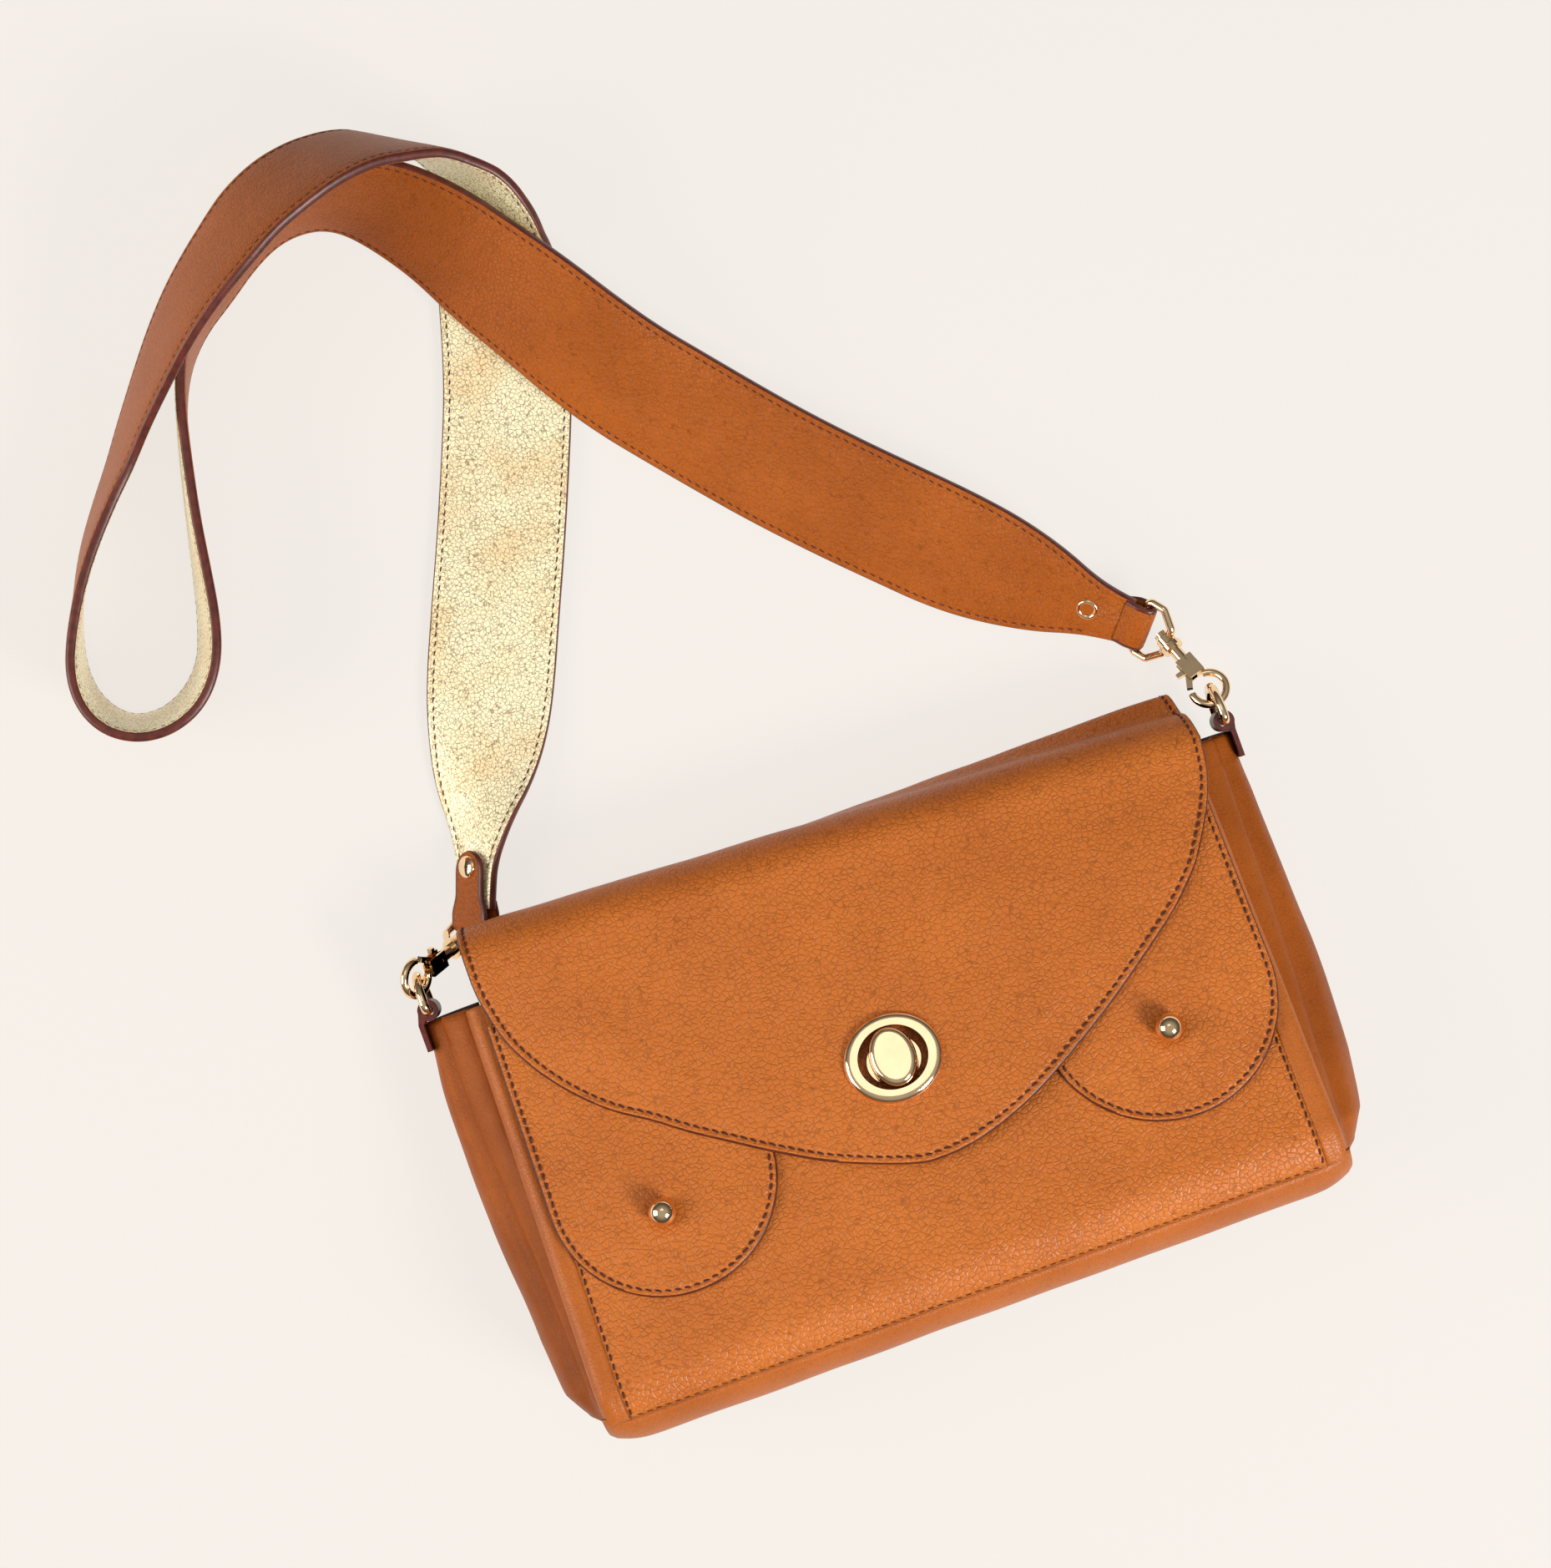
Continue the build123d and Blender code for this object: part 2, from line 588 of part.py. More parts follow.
# Snap hooks
with BuildPart() as hook_body_left:
    left_axis = Plane(origin=LEFT_PIVOT, z_dir=LEFT_HOOK.x_dir)
    with BuildSketch(left_axis.offset(-3.2)):
        Circle(2.1)
    extrude(amount=1.4)
    with BuildSketch(left_axis.offset(-2.5)):
        Circle(1.0)
    extrude(amount=6)
    with BuildSketch(left_axis.offset(1.8)):
        Circle(3.4)
    extrude(amount=1.6)
    with BuildSketch(left_axis.offset(3)):
        Circle(2.0)
    extrude(amount=LEFT_LENGTH - 14)
    extrude(hook_body_outline(LEFT_HOOK, LEFT_LENGTH), amount=1.9, both=True)
    with BuildLine(LEFT_HOOK) as left_claw:
        CenterArc((LEFT_LENGTH, 0), CLAW_RADIUS, 165, -273)
    left_claw_wire = left_claw.wires()[0]
    with BuildSketch(Plane(origin=left_claw_wire @ 0, z_dir=left_claw_wire % 0)):
        Circle(CLAW_WIRE)
    sweep(path=left_claw_wire)
    with BuildSketch(LEFT_HOOK):
        with Locations((LEFT_LENGTH - 8.6, -3.2)):
            Rectangle(9.0, 6.4)
    extrude(amount=1.15, both=True, mode=Mode.SUBTRACT)

with BuildPart() as hook_body_right:
    right_axis = Plane(origin=RIGHT_PIVOT, z_dir=RIGHT_HOOK.x_dir)
    with BuildSketch(right_axis.offset(-3.2)):
        Circle(2.1)
    extrude(amount=1.4)
    with BuildSketch(right_axis.offset(-2.5)):
        Circle(1.0)
    extrude(amount=6)
    with BuildSketch(right_axis.offset(1.8)):
        Circle(3.4)
    extrude(amount=1.6)
    with BuildSketch(right_axis.offset(3)):
        Circle(2.0)
    extrude(amount=RIGHT_LENGTH - 14)
    extrude(hook_body_outline(RIGHT_HOOK, RIGHT_LENGTH), amount=1.9, both=True)
    with BuildLine(RIGHT_HOOK) as right_claw:
        CenterArc((RIGHT_LENGTH, 0), CLAW_RADIUS, 165, -273)
    right_claw_wire = right_claw.wires()[0]
    with BuildSketch(Plane(origin=right_claw_wire @ 0, z_dir=right_claw_wire % 0)):
        Circle(CLAW_WIRE)
    sweep(path=right_claw_wire)
    with BuildSketch(RIGHT_HOOK):
        with Locations((RIGHT_LENGTH - 8.6, -3.2)):
            Rectangle(9.0, 6.4)
    extrude(amount=1.15, both=True, mode=Mode.SUBTRACT)

with BuildPart() as hook_trigger_left:
    extrude(trigger_outline(LEFT_HOOK, LEFT_LENGTH), amount=0.85, both=True)

with BuildPart() as hook_trigger_right:
    extrude(trigger_outline(RIGHT_HOOK, RIGHT_LENGTH), amount=0.85, both=True)

with BuildPart() as trigger_pin_left:
    with BuildSketch(LEFT_HOOK):
        with Locations((LEFT_LENGTH - 8.6, -1.4)):
            Circle(0.55)
    extrude(amount=1.1, both=True)

with BuildPart() as trigger_pin_right:
    with BuildSketch(RIGHT_HOOK):
        with Locations((RIGHT_LENGTH - 8.6, -1.4)):
            Circle(0.55)
    extrude(amount=1.1, both=True)

# Strap
with BuildPart() as strap_leather:
    for section in strap_sections(STRAP_GAP / 2 - 0.2, STRAP_GAP / 2 - 0.2 + STRAP_LEATHER):
        add(section)
    loft(ruled=True)

with BuildPart() as strap_lining:
    for section in strap_sections(-STRAP_GAP / 2 - 0.2 - STRAP_LINING, -STRAP_GAP / 2 - 0.2):
        add(section)
    loft(ruled=True)

# Strap ends folded round the rings, and the rivets through them


def tongue_outline(plane, length):
    """Side outline of a strap end folded round its ring's bar, on the lining side."""
    with BuildSketch(plane) as outline:
        with Locations((0, -0.3)):
            Circle(BAIL_WIRE + 2.1)
        with Locations((length / 2, -2.95)):
            Rectangle(length, 1.4)
        Circle(BAIL_WIRE + 0.3, mode=Mode.SUBTRACT)
        with Locations((5, 0.2)):
            Rectangle(10, 4.9, mode=Mode.SUBTRACT)
    return outline.sketch


def end_plane(index, centre, sign):
    """Plane across a strap end: local x back along the strap, local y to the leather side."""
    across, normal = strap_frames()[index][1:3]
    back = across.cross(normal) * sign
    return Plane(origin=centre, x_dir=back, z_dir=back.cross(normal))


LEFT_END = end_plane(-1, LEFT_BAR, 1)
RIGHT_END = end_plane(0, RIGHT_BAR, -1)

with BuildPart() as strap_loop_left:
    extrude(tongue_outline(LEFT_END, TONGUE_LENGTH), amount=6.2, both=True)

with BuildPart() as strap_loop_right:
    extrude(tongue_outline(RIGHT_END, TONGUE_LENGTH), amount=6.2, both=True)

with BuildPart() as strap_rivets:
    for plane in (LEFT_END, RIGHT_END):
        cap = Plane(origin=plane.from_local_coords((RIVET_FROM_BAR, -3.7, 0)), z_dir=-plane.y_dir)
        with BuildSketch(cap):
            Circle(3.6)
        extrude(amount=1.0)
        with BuildSketch(cap):
            Circle(1.2)
        extrude(amount=-5.8)
        with BuildSketch(cap.offset(-5.8)):
            Circle(3.6)
        extrude(amount=-1.0)

PARTS = {
    "front_panel": front_panel, "side_strip_left": side_strip_left,
    "side_strip_right": side_strip_right, "bottom_panel": bottom_panel,
    "back_panel": back_panel, "body_lining": body_lining, "base_board": base_board,
    "gusset_left": gusset_left, "gusset_right": gusset_right, "flap_root": flap_root,
    "flap_leather": flap_leather, "flap_lining": flap_lining,
    "petal_root_left": petal_root_left, "petal_root_right": petal_root_right,
    "petal_left": petal_left, "petal_right": petal_right,
    "petal_lining_left": petal_lining_left, "petal_lining_right": petal_lining_right,
    "ball_studs": ball_studs, "stud_screws": stud_screws,
    "lock_eyelet_plate": lock_eyelet_plate, "lock_eyelet_back": lock_eyelet_back,
    "lock_base": lock_base, "lock_backing": lock_backing, "lock_knob": lock_knob,
    "dring_tab_left": dring_tab_left, "dring_tab_right": dring_tab_right,
    "dring_left": dring_left, "dring_right": dring_right,
    "hook_ring_left": hook_ring_left, "hook_ring_right": hook_ring_right,
    "hook_body_left": hook_body_left, "hook_body_right": hook_body_right,
    "hook_trigger_left": hook_trigger_left, "hook_trigger_right": hook_trigger_right,
    "trigger_pin_left": trigger_pin_left, "trigger_pin_right": trigger_pin_right,
    "strap_leather": strap_leather, "strap_lining": strap_lining,
    "strap_loop_left": strap_loop_left, "strap_loop_right": strap_loop_right,
    "strap_rivets": strap_rivets,
}

for name, piece in PARTS.items():
    piece.part.label = name
    export_step(piece.part, f"parts/{name}.step")
    print(name, round(piece.part.volume), piece.part.is_valid)
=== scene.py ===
"""Looks of a small tan leather flap bag with a wide shoulder strap, lying on its back.

Metres, in the frame of the CAD model. Helper functions take millimetres where they say so.
"""

import json
import math
import random

import bpy
import numpy as np
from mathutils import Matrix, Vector, noise


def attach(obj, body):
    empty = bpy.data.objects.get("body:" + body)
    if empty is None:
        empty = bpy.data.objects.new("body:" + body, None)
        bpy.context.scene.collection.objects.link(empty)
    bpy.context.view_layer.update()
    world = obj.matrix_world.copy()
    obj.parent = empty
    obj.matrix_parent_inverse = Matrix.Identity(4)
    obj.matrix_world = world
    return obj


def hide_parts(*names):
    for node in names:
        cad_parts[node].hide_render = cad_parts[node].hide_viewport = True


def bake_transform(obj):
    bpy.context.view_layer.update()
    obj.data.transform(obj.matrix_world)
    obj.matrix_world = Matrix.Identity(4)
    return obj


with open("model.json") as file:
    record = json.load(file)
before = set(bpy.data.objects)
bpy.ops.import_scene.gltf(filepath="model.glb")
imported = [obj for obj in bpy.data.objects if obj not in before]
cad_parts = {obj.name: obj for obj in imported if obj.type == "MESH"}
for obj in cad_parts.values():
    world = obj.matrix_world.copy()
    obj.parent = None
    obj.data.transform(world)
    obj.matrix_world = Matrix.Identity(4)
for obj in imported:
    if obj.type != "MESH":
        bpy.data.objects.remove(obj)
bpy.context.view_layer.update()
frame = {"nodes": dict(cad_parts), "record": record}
random.seed(7)

MM = 0.001
# Body, in millimetres, as in the CAD model
MOUTH_Y = 67.0
BASE_Y = -70.0
FRONT_SLOPE = 0.2314
FRONT_AT_BASE = 69.7
TILT = math.atan(FRONT_SLOPE)
PANEL_HALF = 109.0
STRIP_HALF = 116.5
CROWN_Y = 84.0
FLAP_RISE = 5.35
FLAP_THICK = 2.3
LOCK_Y = 9.8
STUD = (79.3, -9.55)
CROWN_SKEW = 0.058
# The flap's lower edge as it lies, from right to left
FLAP_EDGE = [
    (119.7, 69.3), (118, 59), (114.4, 50), (109, 41), (103.2, 33), (94, 24.3), (83.6, 16.6), (70, 7.2),
    (55.4, -1.8), (35.6, -12.6), (17.5, -18.9), (4, -20.6), (-6, -19.2), (-26.6, -11.4), (-42.1, -2.9),
    (-53.4, 4.2), (-64, 11), (-73, 17.6), (-83.2, 24.3), (-92.3, 32.4), (-100.8, 42.9), (-107, 54.4),
    (-110.4, 67.3), (-111.2, 74),
]
# Strap, from its right ring to its left ring: centre, lean in degrees, width
STRAP_ROUTE = [
    (114.5, 109, 9.8, 36, 16), (111, 112, 9.5, 36, 17), (104, 118, 9.5, 35, 21),
    (95, 126, 9.5, 31, 30), (83, 137, 10, 27, 37), (71, 148, 10.4, 25, 40),
    (58, 161, 10.4, 24, 40), (44, 175, 10.4, 24, 40), (29, 191, 10.4, 24, 40),
    (17, 205, 10.5, 24, 40), (6, 218, 12.5, 24, 40), (-5, 231, 15.5, 25, 40),
    (-14.5, 244.5, 19, 27, 40), (-24, 260, 21.5, 31, 40), (-34.5, 276, 20, 35, 40),
    (-45, 293.5, 17, 44, 40), (-55, 305, 18, 52, 40), (-65, 312.5, 19.3, 62, 40),
    (-75, 315.5, 20.2, 72, 40), (-85, 315.5, 20.5, 78, 40), (-94.5, 313, 20.6, 82, 40),
    (-104, 307, 20.6, 86, 40), (-113.5, 299.5, 20.6, 88, 40), (-124, 291, 20.6, 93, 40),
    (-131.5, 281, 20.6, 97, 40), (-137, 268, 20.5, 99, 40), (-141, 252, 20.5, 100, 40),
    (-145, 234, 20.5, 101, 40), (-148, 218, 20.4, 103, 40), (-151, 204, 20.4, 105, 40),
    (-155, 193, 20.4, 106, 40), (-162, 185, 20.4, 107, 40), (-171, 181, 20.4, 105, 40),
    (-180, 181, 20.5, 101, 40), (-188, 185, 20.6, 96, 40), (-193, 193, 20.6, 91, 40),
    (-194, 203, 20.6, 86, 40), (-191, 214, 20.6, 82, 40), (-185, 227, 20.6, 78, 40),
    (-178, 238, 20.6, 75, 40), (-170, 248, 20.6, 73, 40), (-162, 257, 21, 71, 40),
    (-154, 266, 24, 68, 40), (-145, 275, 30, 65, 40), (-135, 284, 36.5, 61, 40),
    (-125, 292, 43.5, 58, 40), (-114, 299.5, 48.5, 55, 40), (-103, 306, 52, 52, 40),
    (-92, 312.5, 53.5, 50, 40), (-80, 317, 53, 50, 40), (-69, 320, 50, 54, 40),
    (-57.5, 321, 44.5, 61, 40), (-47, 319, 37.5, 72, 40), (-38.5, 315.5, 31, 84, 40),
    (-32, 309.5, 25, 98, 40), (-28, 302, 20.5, 115, 40), (-27.5, 294, 16.3, 134, 40),
    (-29.5, 285, 11.7, 151, 40), (-32, 275, 7.6, 164, 40), (-35, 263, 4.4, 173, 40),
    (-38.5, 251, 2.6, 178, 40), (-43, 238, 2, 180, 40), (-50, 221, 2, 180, 40),
    (-59, 200, 2, 180, 40), (-69, 178, 2, 180, 40), (-77, 160, 2, 180, 40),
    (-83, 146, 2.7, 178, 38), (-90, 131, 4.4, 168, 32), (-95.5, 118, 6.6, 150, 22),
    (-100, 107.5, 7.7, 140, 16), (-103, 100, 8, 137, 16), (-105.1, 94.3, 8.3, 136, 16),
]
TONGUE_LENGTH = 22.0
TONGUE_WIDTH = 15.6
TONGUE_TIP = 6.2
RIVET_FROM_BAR = 17.0
LEFT_BAR = np.array([-106.5, 90.5, 8.5])
RIGHT_BAR = np.array([117.5, 106.5, 10.0])


# ---------------------------------------------------------------- materials
def principled(name):
    """A new material and the parts of it that get wired up."""
    mat = bpy.data.materials.new(name)
    mat.use_nodes = True
    tree = mat.node_tree
    shader = tree.nodes["Principled BSDF"]
    return mat, tree, shader


def add_node(tree, kind, **values):
    """A node with its properties and unlinked inputs set."""
    made = tree.nodes.new(kind)
    for key, value in values.items():
        if hasattr(made, key):
            setattr(made, key, value)
        else:
            made.inputs[key.replace("_", " ")].default_value = value
    return made


def ramp(tree, source, stops):
    """A colour ramp over a value."""
    made = tree.nodes.new("ShaderNodeValToRGB")
    elements = made.color_ramp.elements
    while len(elements) < len(stops):
        elements.new(0.5)
    for element, (place, colour) in zip(elements, stops):
        element.position = place
        element.color = colour if len(colour) == 4 else (*colour, 1)
    tree.links.new(source, made.inputs["Fac"])
    return made.outputs["Color"]


def mixed(tree, factor, a, b, blend="MIX"):
    """Two colours mixed by a factor."""
    made = tree.nodes.new("ShaderNodeMix")
    made.data_type = "RGBA"
    made.blend_type = blend
    for socket, value in ((made.inputs[0], factor), (made.inputs[6], a), (made.inputs[7], b)):
        if isinstance(value, (int, float)):
            socket.default_value = value
        elif isinstance(value, tuple):
            socket.default_value = value if len(value) == 4 else (*value, 1)
        else:
            tree.links.new(value, socket)
    return made.outputs[2]


def leather(name, light, dark, rough=0.41, grain=0.5, cell=1.2, crease=0.16, shine=0.34):
    """Tan leather with a pebbled grain.

    light and dark are the two tones it wanders between, cell is the pebble size in millimetres,
    grain the depth of the relief and crease how dark the lines between the pebbles are.
    """
    mat, tree, shader = principled(name)
    where = tree.nodes.new("ShaderNodeTexCoord").outputs["Object"]
    warp = add_node(tree, "ShaderNodeTexNoise", Scale=260.0, Detail=3.0)
    tree.links.new(where, warp.inputs["Vector"])
    shift = tree.nodes.new("ShaderNodeVectorMath")
    shift.operation = "MULTIPLY_ADD"
    shift.inputs[1].default_value = (0.0009, 0.0009, 0.0009)
    tree.links.new(warp.outputs["Color"], shift.inputs[0])
    tree.links.new(where, shift.inputs[2])
    cells = add_node(tree, "ShaderNodeTexVoronoi", Scale=1000.0 / cell)
    cells.feature = "DISTANCE_TO_EDGE"
    tree.links.new(shift.outputs[0], cells.inputs["Vector"])
    broad = add_node(tree, "ShaderNodeTexNoise", Scale=30.0, Detail=6.0, Roughness=0.6)
    tree.links.new(where, broad.inputs["Vector"])
    creases = add_node(tree, "ShaderNodeTexNoise", Scale=430.0, Detail=5.0, Roughness=0.65, Distortion=0.8)
    tree.links.new(where, creases.inputs["Vector"])
    tone = ramp(tree, broad.outputs["Fac"], [(0.34, dark), (0.66, light)])
    groove = ramp(tree, cells.outputs["Distance"], [(0.0, (0, 0, 0)), (0.2, (1, 1, 1))])
    pits = ramp(tree, cells.outputs["Distance"], [(0.0, (1 - 3 * crease,) * 3), (0.11, (1, 1, 1))])
    where_pitted = ramp(tree, creases.outputs["Fac"], [(0.4, (1, 1, 1)), (0.6, (0.15,) * 3)])
    colour = mixed(tree, where_pitted, tone, mixed(tree, 1.0, tone, pits, "MULTIPLY"))
    tree.links.new(colour, shader.inputs["Base Color"])
    height = tree.nodes.new("ShaderNodeMath")
    height.operation = "MULTIPLY_ADD"
    height.inputs[1].default_value = 0.9
    tree.links.new(creases.outputs["Fac"], height.inputs[0])
    tree.links.new(groove, height.inputs[2])
    bump = add_node(tree, "ShaderNodeBump", Strength=grain, Distance=0.00022)
    tree.links.new(height.outputs[0], bump.inputs["Height"])
    tree.links.new(bump.outputs[0], shader.inputs["Normal"])
    shader.inputs["Roughness"].default_value = rough
    shader.inputs["Specular IOR Level"].default_value = shine
    return mat


def mottled(
    name, colour, shade, scale, detail=3.0, spread=0.15, relief=0.4, depth=0.0002, rough=0.4, metallic=0.0,
):
    """One colour with small patches darkened by shade, and a faint relief."""
    mat, tree, shader = principled(name)
    where = tree.nodes.new("ShaderNodeTexCoord").outputs["Object"]
    patches = add_node(tree, "ShaderNodeTexNoise", Scale=scale, Detail=detail)
    tree.links.new(where, patches.inputs["Vector"])
    darker = tuple(c * shade for c in colour)
    tone = ramp(tree, patches.outputs["Fac"], [(0.5 - spread, darker), (0.5 + spread, colour)])
    tree.links.new(tone, shader.inputs["Base Color"])
    bump = add_node(tree, "ShaderNodeBump", Strength=relief, Distance=depth)
    tree.links.new(patches.outputs["Fac"], bump.inputs["Height"])
    tree.links.new(bump.outputs[0], shader.inputs["Normal"])
    shader.inputs["Roughness"].default_value = rough
    shader.inputs["Metallic"].default_value = metallic
    return mat


def edge_paint(name, colour):
    """Painted leather edge: smooth, slightly uneven."""
    return mottled(name, colour, 0.55, 420.0, rough=0.38)


def gold_foil(name):
    """Leather covered with crackled gold foil."""
    mat, tree, shader = principled(name)
    where = tree.nodes.new("ShaderNodeTexCoord").outputs["Object"]
    warp = add_node(tree, "ShaderNodeTexNoise", Scale=900.0, Detail=3.0)
    tree.links.new(where, warp.inputs["Vector"])
    shift = tree.nodes.new("ShaderNodeVectorMath")
    shift.operation = "MULTIPLY_ADD"
    shift.inputs[1].default_value = (0.0012, 0.0012, 0.0012)
    tree.links.new(warp.outputs["Color"], shift.inputs[0])
    tree.links.new(where, shift.inputs[2])
    cracks = add_node(tree, "ShaderNodeTexVoronoi", Scale=760.0)
    cracks.feature = "DISTANCE_TO_EDGE"
    tree.links.new(shift.outputs[0], cracks.inputs["Vector"])
    speck = add_node(tree, "ShaderNodeTexNoise", Scale=1300.0, Detail=4.0, Roughness=0.7)
    tree.links.new(where, speck.inputs["Vector"])
    patch = add_node(tree, "ShaderNodeTexNoise", Scale=42.0, Detail=4.0)
    tree.links.new(where, patch.inputs["Vector"])
    foil = ramp(tree, patch.outputs["Fac"], [(0.3, (0.95, 0.72, 0.40)), (0.56, (1.0, 0.95, 0.66))])
    line = ramp(tree, cracks.outputs["Distance"], [(0.01, (0.20, 0.11, 0.05)), (0.09, (1, 1, 1))])
    dots = ramp(tree, speck.outputs["Fac"], [(0.34, (0.52, 0.35, 0.18)), (0.45, (1, 1, 1))])
    colour = mixed(tree, 0.8, mixed(tree, 0.85, foil, line, "MULTIPLY"), dots, "MULTIPLY")
    tree.links.new(colour, shader.inputs["Base Color"])
    bump = add_node(tree, "ShaderNodeBump", Strength=0.55, Distance=0.0002)
    tree.links.new(speck.outputs["Fac"], bump.inputs["Height"])
    tree.links.new(bump.outputs[0], shader.inputs["Normal"])
    shader.inputs["Metallic"].default_value = 0.2
    shader.inputs["Roughness"].default_value = 0.36
    return mat


def polished(name, colour, rough):
    """Polished plated metal with faint unevenness."""
    return mottled(name, colour, 0.9, 180.0, spread=0.2, relief=0.05, depth=0.0004, rough=rough, metallic=1.0)


def woven(name, colour):
    """Fine woven cloth or board, for hidden inner pieces and thread."""
    return mottled(name, colour, 0.6, 1800.0, detail=2.0, rough=0.75)


TAN = leather("tan_pebbled", (0.55, 0.152, 0.020), (0.48, 0.126, 0.016), grain=0.6, cell=1.7, crease=0.15)
TAN_SMOOTH = leather(
    "tan_smooth", (0.47, 0.124, 0.016), (0.38, 0.095, 0.011), rough=0.4, grain=0.3, cell=1.2, crease=0.08,
)
# A darker copy of the tan leather for the gussets: painted shade for their sides, which face away from the
# light. Grain and shine are turned down too.
SHADED_TAN_GUSSET = leather(
    "tan_gusset_painted_shade", (0.38, 0.092, 0.010), (0.28, 0.064, 0.006), rough=0.5, grain=0.25, crease=0.08, shine=0.18,
)
TAN_STRAP = leather(
    "tan_strap", (0.39, 0.097, 0.010), (0.32, 0.076, 0.007),
    rough=0.42, grain=0.5, cell=1.4, crease=0.13, shine=0.2,
)
# Edge paint for the bag's pieces, darker than the paint alone: it is real edge paint and also painted shade
# for the dark contact line along the edges.
EDGE_PAINT_AND_SHADE = edge_paint("edge_paint_and_contact_shade", (0.12, 0.022, 0.006))
EDGE_DARK = edge_paint("edge_burgundy", (0.12, 0.018, 0.010))
FOIL = gold_foil("gold_foil")
GOLD = polished("gold_metal_polished", (1.0, 0.74, 0.45), rough=0.09)
THREAD = woven("thread_burgundy", (0.085, 0.012, 0.006))
CLOTH = woven("lining_cloth", (0.055, 0.022, 0.012))
BOARD = woven("base_board_grey", (0.35, 0.27, 0.2))
SLOT_LOOKS = {
    "tan_leather": TAN, "gold_foil_leather": FOIL, "lining_fabric": CLOTH,
    "base_board": BOARD, "gold_metal": GOLD,
}
for part in frame["record"]["subparts"]:
    node = frame["nodes"][part["node"]]
    node.data.materials.clear()
    node.data.materials.append(SLOT_LOOKS[part["material_slot"]])
    if part["material_slot"] == "gold_metal":
        node.data.shade_smooth()
for name in ("dring_tab_left", "dring_tab_right"):
    frame["nodes"][name].data.materials[0] = EDGE_DARK


# ---------------------------------------------------------------- mesh helpers
def make_object(name, verts, faces, materials, face_slots=None):
    """A smooth-shaded mesh object from vertices in millimetres."""
    mesh = bpy.data.meshes.new(name)
    mesh.from_pydata([tuple(float(c) * MM for c in v) for v in verts], [], faces)
    for mat in materials:
        mesh.materials.append(mat)
    if face_slots is not None:
        mesh.polygons.foreach_set("material_index", face_slots)
    mesh.polygons.foreach_set("use_smooth", [True] * len(mesh.polygons))
    mesh.update()
    made = bpy.data.objects.new(name, mesh)
    bpy.context.scene.collection.objects.link(made)
    return made


def unit(v):
    """Unit vectors along the last axis."""
    return v / np.maximum(np.linalg.norm(v, axis=-1, keepdims=True), 1e-12)


def rounded_path(points, radii, step=1.0):
    """A plane polyline with its corners rounded, sampled at even steps."""
    points = [np.array(p, float) for p in points]
    out = [points[0]]
    for before, corner, after, radius in zip(points, points[1:], points[2:], radii):
        a = unit(before - corner)
        b = unit(after - corner)
        half = math.acos(float(np.clip(a @ b, -1, 1))) / 2
        cut = radius / math.tan(half)
        centre = corner + unit(a + b) * radius / math.sin(half)
        start = corner + a * cut - centre
        end = corner + b * cut - centre
        for k in range(17):
            mid = start * (1 - k / 16) + end * (k / 16)
            out.append(centre + unit(mid) * radius)
    out.append(points[-1])
    return resample(np.array(out), step)


def resample(line, step):
    """A polyline at even steps of its own length."""
    lengths = np.concatenate([[0], np.cumsum(np.linalg.norm(np.diff(line, axis=0), axis=1))])
    count = max(2, int(round(lengths[-1] / step)) + 1)
    at = np.linspace(0, lengths[-1], count)
    return np.stack([np.interp(at, lengths, line[:, k]) for k in range(line.shape[1])], axis=1)


def smooth_curve(points, per_span=12):
    """Catmull-Rom curve through points."""
    pts = np.array(points, float)
    ends = np.vstack([2 * pts[0] - pts[1], pts, 2 * pts[-1] - pts[-2]])
    out = []
    for i in range(1, len(ends) - 2):
        p0, p1, p2, p3 = ends[i - 1], ends[i], ends[i + 1], ends[i + 2]
        for k in range(per_span):
            t = k / per_span
            out.append(0.5 * (2 * p1 + (p2 - p0) * t + (2 * p0 - 5 * p1 + 4 * p2 - p3) * t * t
                              + (3 * p1 - p0 - 3 * p2 + p3) * t ** 3))
    out.append(ends[-2])
    return np.array(out)


def edge_distance(points, line):
    """Distance of plane points from a polyline."""
    a = line[:-1]
    d = line[1:] - a
    squares = np.maximum((d * d).sum(1), 1e-9)
    best = np.full(len(points), 1e9)
    for start in range(0, len(points), 4000):
        chunk = points[start:start + 4000]
        rel = chunk[:, None, :] - a[None]
        t = np.clip((rel * d[None]).sum(2) / squares, 0, 1)
        gap = rel - t[..., None] * d[None]
        best[start:start + 4000] = np.sqrt((gap * gap).sum(2)).min(1)
    return best


def step01(x):
    """Smooth step from 0 to 1."""
    x = np.clip(x, 0, 1)
    return x * x * (3 - 2 * x)


def wander(points, size, amount, seed=0.0):
    """Smooth random offsets for points, in millimetres."""
    places = [Vector((float(p[0]) / size + seed, float(p[1]) / size, seed * 0.7)) for p in points]
    return np.array([noise.noise(place) for place in places]) * amount


